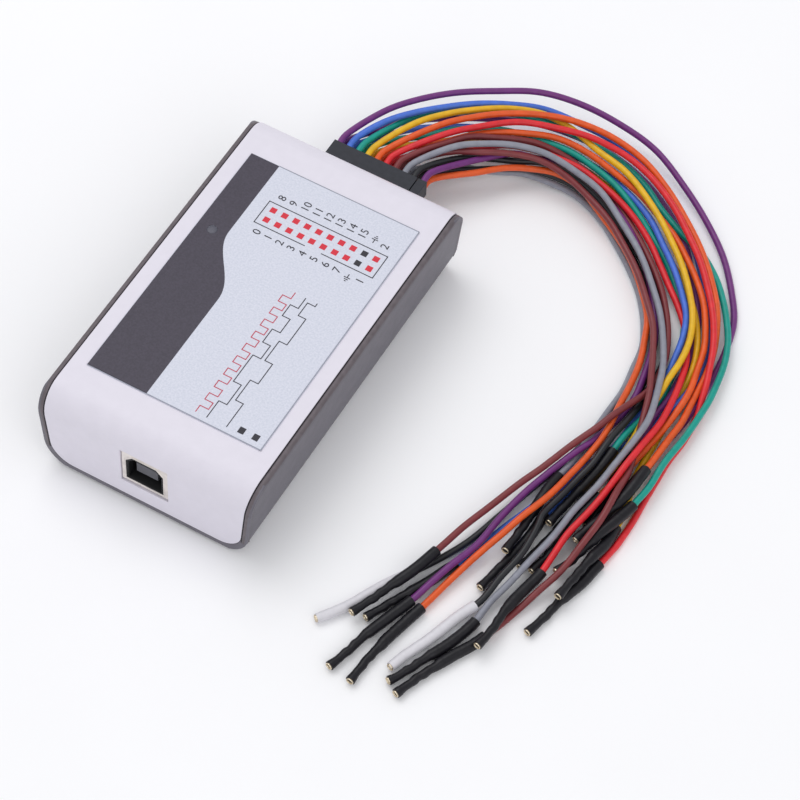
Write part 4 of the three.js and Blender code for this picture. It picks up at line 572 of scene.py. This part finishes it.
SLEEVE_SIDES = 20
SHARP_DEG = 50
SLEEVE_STATION = 0.4
CRIMP_SHOWS = 0.35
CRIMP_OUTER = 0.9
CRIMP_INNER = 0.66
CRIMP_DEPTH = 3.2
CRIMP_DEPTHS = [CRIMP_DEPTH + 0.2, 1.2, 0.6, 0.25, 0.08, 0, 0, 0.1, CRIMP_DEPTH]
CRIMP_RADII = [0.70, 0.72, 0.82, CRIMP_OUTER, 0.89, 0.84, 0.72, CRIMP_INNER, CRIMP_INNER]
SLEEVE_KNOTS = [0, 0.4, 1.0, 2.4, 4.6, 5.4, 7.2, 8.0, 9.6, 10.6, 11.6, 12.4, 25]
SLEEVE_BLACK = [1.0, 1.14, 1.12, 0.94, 0.92, 1.06, 0.92, 1.08, 0.95, 1.02, 1.12, 1.3, 1.3]
SLEEVE_WHITE = [1.0, 1.1, 1.14, 1.15, 1.16, 1.18, 1.2, 1.22, 1.23, 1.25, 1.27, 1.29, 1.29]
FOLD_KNOTS = [0, 3, 5, 6.5, 8, 9.5, 11.4, 12.4, 25]
FOLDS = [0, -0.05, 0.12, -0.1, 0.15, 0, 0.16, 0, 0]
LEAD_STATION = 1.0


def sweep_frames(line):
    """Two directions across the line at each of its points, which don't twist along it."""
    ahead = np.gradient(line, axis=0)
    ahead /= np.linalg.norm(ahead, axis=1)[:, None]
    across = np.cross(ahead, (0, 0, 1))
    across /= np.linalg.norm(across, axis=1)[:, None]
    return across, np.cross(across, ahead)


def ended_tube(name, vertices):
    """The mesh of a tube with flat ends, from the vertices of its rings."""
    faces = ring_faces(len(vertices) // SLEEVE_SIDES, SLEEVE_SIDES)
    faces.append(tuple(range(SLEEVE_SIDES)))
    faces.append(tuple(range(len(vertices) - SLEEVE_SIDES, len(vertices)))[::-1])
    mesh = mesh_from(name, vertices, faces)
    mesh.set_sharp_from_angle(angle=math.radians(SHARP_DEG))
    return mesh


def tube_mesh(name, line, radii, sway):
    """A tube along line with its own radius at each point; sway shifts its rings sideways."""
    across, above = sweep_frames(line)
    turn = np.linspace(0, 2 * np.pi, SLEEVE_SIDES, endpoint=False)
    vertices = []
    for i, centre in enumerate(line):
        middle = centre + sway[i, 0] * across[i] + sway[i, 1] * above[i]
        for angle in turn:
            outward = math.cos(angle) * across[i] + math.sin(angle) * above[i]
            vertices.append(middle + radii[i] * outward)
    return ended_tube(name, vertices)


def sleeve_profile(distance, white, shift):
    """Radius of the shrunk sleeve at a distance from its tip: a lip over the crimp's mouth,
    the crimp barrel, the folds over its wings, and the loose end on the lead."""
    moved = [k + shift * math.sin(math.pi * k / SLEEVE_LENGTH) for k in SLEEVE_KNOTS]
    return np.interp(distance, moved, SLEEVE_WHITE if white else SLEEVE_BLACK)


def add_sleeve(name, nodes, length, white, body, seed):
    rng = np.random.default_rng(seed)
    outside = np.arange(CRIMP_SHOWS, SLEEVE_LENGTH + 1e-6, SLEEVE_STATION)
    line = at_lengths(nodes, length - outside)
    radii = sleeve_profile(outside, white, rng.uniform(-1.2, 1.2))
    soft = np.convolve(np.pad(radii, 1, mode="edge"), np.ones(3) / 3, mode="valid")
    radii = soft + rng.normal(0, 0.012, len(soft))
    folds = np.interp(outside, FOLD_KNOTS, FOLDS)
    lean = rng.uniform(0, 2 * math.pi)
    sway = np.stack([folds * math.cos(lean), folds * math.sin(lean) * 0.4], axis=1)
    sway *= 0.3 if white else 1
    # the sleeve's thickness turns in at both ends
    line = np.vstack([line[:1], line, line[-1:]])
    radii = np.concatenate([[CRIMP_OUTER - 0.04], radii, [LEAD_DIAMETER / 2]])
    sway = np.vstack([sway[:1] * 0, sway, sway[-1:]])
    back = line[-1] - line[-3]
    line[-1] = line[-2] - back / np.linalg.norm(back) * 0.02
    start = line[0] - line[2]
    line[0] = line[1] + start / np.linalg.norm(start) * 0.02
    slot = "sleeve_white" if white else "sleeve_black"
    sleeve = add_piece(f"{name}_heat_shrink", tube_mesh(name, line, radii, sway=sway), slot, body)
    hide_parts(f"sleeve_{name}")
    return sleeve


def add_crimp(name, nodes, length, body):
    """Tinned crimp socket: a rolled tube whose mouth shows at the tip of the sleeve."""
    tip = at_lengths(nodes, np.array([length]))[0]
    inside = at_lengths(nodes, np.array([length - CRIMP_DEPTH]))[0]
    ahead = (tip - inside) / np.linalg.norm(tip - inside)
    line = [tip - ahead * (depth + k * 0.004) for k, depth in enumerate(CRIMP_DEPTHS)]
    side = np.cross(ahead, (0, 0, 1))
    side /= np.linalg.norm(side)
    above = np.cross(side, ahead)
    vertices = []
    for centre, radius in zip(line, CRIMP_RADII):
        for k in range(SLEEVE_SIDES):
            angle = 2 * math.pi * k / SLEEVE_SIDES
            vertices.append(centre + radius * (math.cos(angle) * side + math.sin(angle) * above))
    mesh = ended_tube(f"{name}_crimp", vertices)
    return add_piece(f"{name}_crimp_socket", mesh, "crimp_tin", body)


def add_lead(index, nodes):
    name, colour, column, row, _ = LEADS[index]
    body = "pwm_leads" if name.endswith("pwm") else "channel_leads"
    white = colour == "black"
    length, _, _ = measured(nodes)
    shown = length - CRIMP_DEPTH - 2
    places = at_lengths(nodes, np.linspace(0, shown, round(shown / LEAD_STATION)))
    start = np.array([(column_x(column), PLUG_BACK - 1.6, row_z(row))])
    places = np.vstack([start, places])
    data = bpy.data.curves.new(f"lead_{name}_jacket", "CURVE")
    data.dimensions = "3D"
    data.bevel_depth = LEAD_DIAMETER / 2 * MM
    data.bevel_resolution = 5
    data.use_fill_caps = True
    spline = data.splines.new("POLY")
    spline.points.add(len(places) - 1)
    for point, place in zip(spline.points, places):
        point.co = (*(place * MM), 1)
    wire = add_piece(f"{name}_jacket", data, f"silicone_{colour}", body)
    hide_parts(f"lead_{name}")
    sleeve = add_sleeve(name, nodes, length, white, body, seed=index + 1)
    crimp = add_crimp(name, nodes, length, body)


# ---------------------------------------------------------------- plugs


def housing(name, node, first, end, body):
    """Crimp housing with a square hole for each lead behind, and for each pin in front."""
    lowest, highest = low(node), high(node)
    xs = [HEADER_LEFT + column * PITCH for column in range(first, end + 1)]
    zs = [HEADER_BOTTOM + row * PITCH for row in range(3)]
    xs[0], xs[-1] = lowest.x, highest.x
    zs[0], zs[-1] = lowest.z, highest.z
    vertices, faces = [], []

    def corner(x, y, z):
        vertices.append((x, y, z))
        return len(vertices) - 1

    def face_with_holes(y, depth, half):
        for column in range(len(xs) - 1):
            for row in range(2):
                x0, x1, z0, z1 = xs[column], xs[column + 1], zs[row], zs[row + 1]
                cx = HEADER_LEFT + (first + column + 0.5) * PITCH
                cz = HEADER_BOTTOM + (row + 0.5) * PITCH
                outer = [corner(x, y, z) for x, z in ((x0, z0), (x1, z0), (x1, z1), (x0, z1))]
                square = ((cx - half, cz - half), (cx + half, cz - half),
                          (cx + half, cz + half), (cx - half, cz + half))
                rim = [corner(x, y, z) for x, z in square]
                floor = [corner(x, y + depth, z) for x, z in square]
                for k in range(4):
                    n = (k + 1) % 4
                    faces.append((outer[k], outer[n], rim[n], rim[k]))
                    faces.append((rim[k], rim[n], floor[n], floor[k]))
                faces.append(tuple(floor))

    face_with_holes(highest.y, -4, 1.02)
    face_with_holes(lowest.y, 7, 0.65)
    for k in range(len(xs) - 1):
        for z in (zs[0], zs[-1]):
            faces.append(tuple(corner(x, y, z) for x, y in (
                (xs[k], lowest.y), (xs[k + 1], lowest.y), (xs[k + 1], highest.y), (xs[k], highest.y))))
    for k in range(2):
        for x in (xs[0], xs[-1]):
            faces.append(tuple(corner(x, y, z) for y, z in (
                (lowest.y, zs[k]), (lowest.y, zs[k + 1]), (highest.y, zs[k + 1]), (highest.y, zs[k]))))
    mesh = mesh_from(name, vertices, faces, smooth=False)
    work = bmesh.new()
    work.from_mesh(mesh)
    bmesh.ops.remove_doubles(work, verts=work.verts, dist=0.002 * MM)
    bmesh.ops.recalc_face_normals(work, faces=work.faces)
    work.to_mesh(mesh)
    work.free()
    piece = add_piece(name, mesh, "plug_housing", body)
    bevel = piece.modifiers.new("rounding", "BEVEL")
    bevel.width = 0.14 * MM
    bevel.segments = 3
    bevel.limit_method = "ANGLE"
    bevel.angle_limit = math.radians(40)
    mesh.shade_smooth()
    mesh.set_sharp_from_angle(angle=math.radians(40))
    bevel.harden_normals = True
    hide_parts(node)
    return piece


# ---------------------------------------------------------------- case

FRONT_TOP_RADIUS = 6.5
BACK_TOP_RADIUS = 5.5
RIM_BAND = 1.15
RIM_WIDTH = 1.3
RIM_PROUD = 0.05
ARC_POINTS = 14
SIDE_LEAN = math.tan(math.radians(5))
LENS_DOME = 0.16
LENS_RIM_DEPTH = 0.06
LENS_LIP = 0.13
LENS_SIDES = 40


def rim_line(inset):
    """The tray's side outline seen from the right, moved inwards by inset: (y, z) pairs from
    the bottom of the front, over the top, to the bottom of the back."""
    front, back, top = CASE_FRONT + inset, TRAY_BACK - inset, TRAY_TOP - inset
    line = [(front, TRAY_BOTTOM + 5.5), (front, 12)]
    for radius, cx, start in (
            (FRONT_TOP_RADIUS - inset, CASE_FRONT + FRONT_TOP_RADIUS, math.pi),
            (BACK_TOP_RADIUS - inset, TRAY_BACK - BACK_TOP_RADIUS, math.pi / 2)):
        for k in range(ARC_POINTS + 1):
            angle = start - math.pi / 2 * k / ARC_POINTS
            centre = top + inset - (radius + inset)
            line.append((cx + radius * math.cos(angle), centre + radius * math.sin(angle)))
    line += [(back, 12), (back, TRAY_BOTTOM + 5.5)]
    return line


RIM_SECTION = [
    (RIM_WIDTH - 0.05, 0.05), (RIM_WIDTH - 0.1, -RIM_PROUD), (0.75, -RIM_PROUD), (0.4, 0.02),
    (0.15, 0.2), (0.0, 0.5), (-RIM_PROUD, RIM_BAND - 0.12), (-RIM_PROUD - 0.08, RIM_BAND),
    (0.1, RIM_BAND + 0.1)]
# Section of the dark strip just outside each bead: painted shade of the narrow gap between cover and tray
SEAM_SHADE_SECTION = [(RIM_WIDTH + 0.3, 0.03), (RIM_WIDTH + 0.1, -0.01), (RIM_WIDTH - 0.12, -0.01)]


def add_rim(name, side, section, material):
    """Strip along the tray's side rim; each section point is (inwards from the wall, inset)."""
    vertices, faces = [], []
    lines = [rim_line(inset) for _, inset in section]
    for station in range(len(lines[0])):
        for (inwards, _), line in zip(section, lines):
            y, z = line[station]
            wall = HALF_WIDTH - (CASE_TOP - z) * SIDE_LEAN
            vertices.append((side * (wall - inwards), y, z))
    wide = len(section)
    for station in range(len(lines[0]) - 1):
        for k in range(wide - 1):
            a = station * wide + k
            faces.append((a, a + 1, a + 1 + wide, a + wide))
    mesh = mesh_from(name, vertices, faces)
    piece = add_piece(name, mesh, material)
    thick = piece.modifiers.new("thickness", "SOLIDIFY")
    thick.thickness = 0.06 * MM
    thick.offset = -1
    return piece


def add_light_pipe():
    """Round light pipe whose slightly domed face stands just proud of the dark panel."""
    lowest, highest = low("status_led"), high("status_led")
    x, y = (lowest.x + highest.x) / 2, (lowest.y + highest.y) / 2
    radius = (highest.x - lowest.x) / 2 + LENS_LIP
    steps = [math.pi / 2 * k / 6 for k in range(6)]
    profile = [(radius, lowest.z)]
    rim_z = LABEL_TOP - LENS_RIM_DEPTH
    profile += [(radius * math.cos(a), rim_z + LENS_DOME * math.sin(a)) for a in steps]
    vertices = []
    for ring_radius, z in profile:
        for k in range(LENS_SIDES):
            angle = 2 * math.pi * k / LENS_SIDES
            vertices.append((x + ring_radius * math.cos(angle), y + ring_radius * math.sin(angle), z))
    faces = ring_faces(len(profile), LENS_SIDES)
    vertices.append((x, y, rim_z + LENS_DOME))
    top = len(vertices) - 1
    rim = top - LENS_SIDES
    faces += [(rim + k, rim + (k + 1) % LENS_SIDES, top) for k in range(LENS_SIDES)]
    faces.append(tuple(range(LENS_SIDES))[::-1])
    mesh = mesh_from("light_window", vertices, faces)
    mesh.set_sharp_from_angle(angle=math.radians(SHARP_DEG))
    piece = add_piece("light_window", mesh, "light_pipe")
    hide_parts("status_led")


def add_case():
    refined("tray_moulding", "lower_shell", "tray_plastic", 0.3)
    refined("cover_moulding", "upper_shell", "shell_plastic", 0.28)
    for hand, side in (("left", -1), ("right", 1)):
        add_rim(f"rim_bead_{hand}", side, RIM_SECTION, "tray_rim")
        # the dark strip beside each bead is painted shade of the gap between cover and tray
        add_rim(f"rim_seam_shade_{hand}", side, SEAM_SHADE_SECTION, "seam_shadow")
    add_light_pipe()
    for i in range(1, 5):
        refined(f"screw_{i}", f"case_screw_{i}", "screw_steel", 0.2, segments=2)
        refined(f"foot_{i}", f"rubber_foot_{i}", "foot_rubber", 0.35)


# ---------------------------------------------------------------- printed label

PRINT = 0.03
LINE = 0.22
SQUARE = 1.5
SQUARE_X = -9.35
SQUARE_PITCH = 3.02
SQUARE_ROWS = (20.4, 23.55)
BOX = (-11.6, 19.9, 18.35, 25.6)
BOX_GAP = (2.0, 6.3)
PANEL_TOP_X = -14.9
PANEL_BOTTOM_X = -6.95
PANEL_BEND = (13, 6.5, 2.3, -4.6)


def box_round(x, y, half_x, half_y):
    return [x - half_x, x + half_x, y - half_y, y + half_y]


def square_wave(levels, edges, start, end):
    """Bars of a trace that runs along Y and steps between two x levels at each edge."""
    result = []
    ys = [start, *edges, end]
    half = LINE / 2
    for i in range(len(ys) - 1):
        x = levels[i % 2]
        result.append([x - half, x + half, ys[i] - half, ys[i + 1] + half])
    for y in edges:
        result.append([min(levels) + half, max(levels) - half, y - half, y + half])
    return result


def number(text, x, y, height, align):
    """Plain digits that read along +Y."""
    data = bpy.data.curves.new(f"digits_{text}", "FONT")
    data.body = text
    data.size = height * MM
    data.align_x = align
    data.align_y = "CENTER"
    data.extrude = PRINT / 2 * MM
    data.resolution_u = 4
    carrier = bpy.data.objects.new(f"digits_{text}", data)
    bpy.context.scene.collection.objects.link(carrier)
    carrier.rotation_euler = (0, 0, math.pi / 2)
    carrier.location = (x * MM, y * MM, (LABEL_TOP + PRINT / 2) * MM)
    bpy.context.view_layer.update()
    shape = bpy.data.meshes.new_from_object(carrier.evaluated_get(bpy.context.evaluated_depsgraph_get()))
    shape.transform(carrier.matrix_world)
    bpy.data.objects.remove(carrier)
    return shape


def joined(name, meshes, material):
    work = bmesh.new()
    for mesh in meshes:
        work.from_mesh(mesh)
        bpy.data.meshes.remove(mesh)
    whole = bpy.data.meshes.new(name)
    work.to_mesh(whole)
    work.free()
    return add_piece(name, whole, material)


def panel_outline():
    ys = PANEL_BEND
    xs = (PANEL_TOP_X, PANEL_TOP_X, PANEL_BOTTOM_X, PANEL_BOTTOM_X)
    bend = []
    for k in range(25):
        t = k / 24
        weights = ((1 - t) ** 3, 3 * t * (1 - t) ** 2, 3 * t * t * (1 - t), t ** 3)
        bend.append((sum(w * x for w, x in zip(weights, xs)), sum(w * y for w, y in zip(weights, ys))))
    edge = 0.12
    return [(LABEL_LEFT + edge, LABEL_BACK - edge), (LABEL_LEFT + edge, LABEL_FRONT + edge),
            (PANEL_BOTTOM_X, LABEL_FRONT + edge), *bend[::-1], (PANEL_TOP_X, LABEL_BACK - edge)]


def add_label():
    refined("printed_film", "top_label", "label_film", 0.06, segments=2)
    low_z, high_z = LABEL_TOP - 0.02, LABEL_TOP + PRINT
    panel = plate("dark_panel", panel_outline(), low_z, high_z, "label_dark")
    cut_for_window(panel)
    left, right, front, back = LABEL_LEFT, LABEL_RIGHT, LABEL_FRONT, LABEL_BACK
    border = [[left, right, front, front + LINE], [right - LINE, right, front + LINE, back - LINE],
              [PANEL_TOP_X, right, back - LINE, back]]
    bars("border_line", border, low_z, high_z, "label_line")
    columns = [SQUARE_X + SQUARE_PITCH * k for k in range(10)]
    half = SQUARE / 2
    red = [box_round(x, y, half, half) for k, x in enumerate(columns) if k != 8 for y in SQUARE_ROWS]
    dark = [box_round(columns[8], y, half, half) for y in SQUARE_ROWS]
    bars("channel_squares", red, low_z, high_z, "label_red")
    x0, x1, y0, y1 = BOX
    frame_bars = [[x0, x1, y1 - LINE, y1], [x0, x0 + LINE, y0, y1], [x1 - LINE, x1, y0, y1],
                  [x0, BOX_GAP[0], y0, y0 + LINE], [BOX_GAP[1], x1, y0, y0 + LINE]]
    bullets = [box_round(x, -32.5, 0.75, 0.85) for x in (16.2, 19.8)]
    slow = square_wave((7.75, 9.8), [-28.3, -22.15, -13.8, -9.65, -5.45, -1.1, 2.45], -33.4, 5.7)
    slower = square_wave((12.8, 10.8), [-26.25, -19.95, -13.75, -7.55, 0.75, 4.85], -33.3, 5.7)
    grounds = []
    for y, way in ((27.2, 1), (16.7, -1)):
        x = columns[8]
        grounds += [box_round(x, y + way * 0.5, LINE / 2, 0.5), box_round(x, y + way * 1.1, 0.8, LINE / 2),
                    box_round(x, y + way * 1.6, 0.5, LINE / 2), box_round(x, y + way * 2.1, 0.22, LINE / 2)]
    bars("dark_print", dark + frame_bars + bullets + slow + slower + grounds, low_z, high_z, "label_ink")
    fast = square_wave((4.85, 7.0), [-31.45 + 1.965 * k for k in range(19)], -33.3, 5.8)
    bars("fast_trace", fast, low_z, high_z, "label_rose")
    digits = [number(str(k + 8), columns[k], 27.0, 2.8, "LEFT") for k in range(8)]
    digits += [number(str(k), columns[k], 17.0, 2.8, "RIGHT") for k in range(8)]
    digits += [number(str(k), columns[9], y, 2.8, a) for k, y, a in ((2, 27.0, "LEFT"), (1, 17.0, "RIGHT"))]
    joined("channel_numbers", digits, "label_ink")


def cut_for_window(panel):
    """The dark panel is open over the status light."""
    lowest, highest = low("status_led"), high("status_led")
    x, y = (lowest.x + highest.x) / 2, (lowest.y + highest.y) / 2
    radius = (highest.x - lowest.x) / 2 + LENS_LIP + 0.01
    sides = 32
    ring = [(x + radius * math.cos(2 * math.pi * k / sides), y + radius * math.sin(2 * math.pi * k / sides))
            for k in range(sides)]
    tool = bpy.data.objects.new("window_cut", prism("window_cut", ring, LABEL_TOP - 1, LABEL_TOP + 1))
    bpy.context.scene.collection.objects.link(tool)
    cut = panel.modifiers.new("window", "BOOLEAN")
    cut.operation = "DIFFERENCE"
    cut.object = tool
    cut.solver = "EXACT"
    bpy.context.view_layer.update()
    evaluated = panel.evaluated_get(bpy.context.evaluated_depsgraph_get())
    mesh = bpy.data.meshes.new_from_object(evaluated)
    panel.modifiers.clear()
    panel.data = mesh
    bpy.data.objects.remove(tool)


# ---------------------------------------------------------------- electronics


OPENING_HALF_X = 4.46
OPENING_HALF_Z = 3.86
OPENING_CHAMFER = 1.6


def add_electronics():
    refined("bare_board", "circuit_board", "circuit_board", 0.08, segments=2)
    for node in ("fpga_chip", "usb_controller_chip"):
        refined(f"{node}_body", node, "chip_epoxy", 0.12, segments=2)
    refined("header_pins", "pin_header", "gold_pins", 0.05, segments=1)
    refined("socket_can", "usb_socket_shell", "nickel_plate", 0.12)
    refined("socket_insert", "usb_socket_insert", "tongue_plastic", 0.15)
    lining()


def socket_ring(name, sections, material):
    """A closed ring that follows the socket's opening; sections are (y, inwards) pairs."""
    middle = (low("usb_socket_insert").z + high("usb_socket_insert").z) / 2
    rings = []
    for y, inset in sections:
        hx, hz = OPENING_HALF_X - inset, OPENING_HALF_Z - inset
        cut = OPENING_CHAMFER - inset * 0.4
        rings.append([(-hx, y, middle - hz), (hx, y, middle - hz), (hx, y, middle + hz - cut),
                      (hx - cut, y, middle + hz), (-hx + cut, y, middle + hz), (-hx, y, middle + hz - cut)])
    vertices = [corner for ring in rings for corner in ring]
    mesh = mesh_from(name, vertices, ring_faces(len(rings), len(rings[0]), closed=True))
    mesh.set_sharp_from_angle(angle=math.radians(SHARP_DEG))
    return add_piece(name, mesh, material)


def lining():
    """Black moulding that lines the socket's opening, the can's rolled lip around it, and the
    four contacts on the tongue."""
    face, back = low("usb_socket_shell").y, low("usb_socket_shell").y + 9.3
    middle = (low("usb_socket_insert").z + high("usb_socket_insert").z) / 2
    socket_ring("socket_lining", [(back, 0), (face - 0.03, 0), (face - 0.08, -0.08), (face - 0.08, -0.34),
                                  (face - 0.1, -0.34), (face - 0.12, -0.1), (face - 0.1, 0.05),
                                  (face + 0.2, 0.3), (back, 0.35)], "socket_plastic")
    socket_ring("socket_lip", [(face + 0.05, -0.34), (face - 0.12, -0.38), (face - 0.18, -0.5),
                               (face - 0.16, -0.62), (face + 0.05, -0.74)], "nickel_plate")
    tongue_half = 1.6
    strips, faces = [], []
    for x in (-1.25, 1.25):
        for way in (-1, 1):
            z = middle + way * (tongue_half + 0.04)
            base = len(strips)
            strips += [(x + sx * 0.45, y, z + sz * 0.06) for y in (face + 2.1, back)
                       for sx, sz in ((-1, -1), (1, -1), (1, 1), (-1, 1))]
            faces += [(base, base + 1, base + 2, base + 3), (base + 7, base + 6, base + 5, base + 4)]
            for k in range(4):
                n = (k + 1) % 4
                faces.append((base + k, base + 4 + k, base + 4 + n, base + n))
    add_piece("socket_contacts", mesh_from("socket_contacts", strips, faces, smooth=False),
              "gold_pins")


# ---------------------------------------------------------------- studio


def add_light(name, place, size, power, aim=(30, 20, 0)):
    data = bpy.data.lights.new(name, "AREA")
    data.shape = "SQUARE"
    data.size = size
    data.energy = power
    lamp = bpy.data.objects.new(name, data)
    lamp.location = Vector(place) * MM
    lamp.rotation_euler = (Vector(aim) * MM - lamp.location).to_track_quat("-Z", "Y").to_euler()
    bpy.context.scene.collection.objects.link(lamp)


def add_studio():
    mesh = mesh_from("floor", [(-3000, -3000, -0.02), (3000, -3000, -0.02), (3000, 3000, -0.02),
                               (-3000, 3000, -0.02)], [(0, 1, 2, 3)], smooth=False)
    floor = bpy.data.objects.new("floor", mesh)
    bpy.context.scene.collection.objects.link(floor)
    mesh.materials.append(surface("floor_paper", tone(252, 252, 254), 0.9, mottle=0.004, mottle_mm=40))
    world = bpy.data.worlds.new("studio")
    world.use_nodes = True
    world.node_tree.nodes["Background"].inputs["Color"].default_value = (0.98, 0.985, 1.0, 1)
    world.node_tree.nodes["Background"].inputs["Strength"].default_value = 0.66
    bpy.context.scene.world = world
    add_light("key_light", (-350, 250, 900), 0.7, 3.2)
    add_light("fill_light", (600, -500, 700), 0.8, 2.0)
    bpy.context.scene.view_settings.view_transform = "Standard"


# ---------------------------------------------------------------- the whole

add_camera()
for lead_index, lead_nodes in enumerate(settled_leads()):
    add_lead(lead_index, lead_nodes)
housing("channel_housing", "channel_connector", 0, 9, "channel_leads")
housing("pwm_housing", "pwm_connector", 9, 10, "pwm_leads")
add_case()
add_label()
add_electronics()
add_studio()
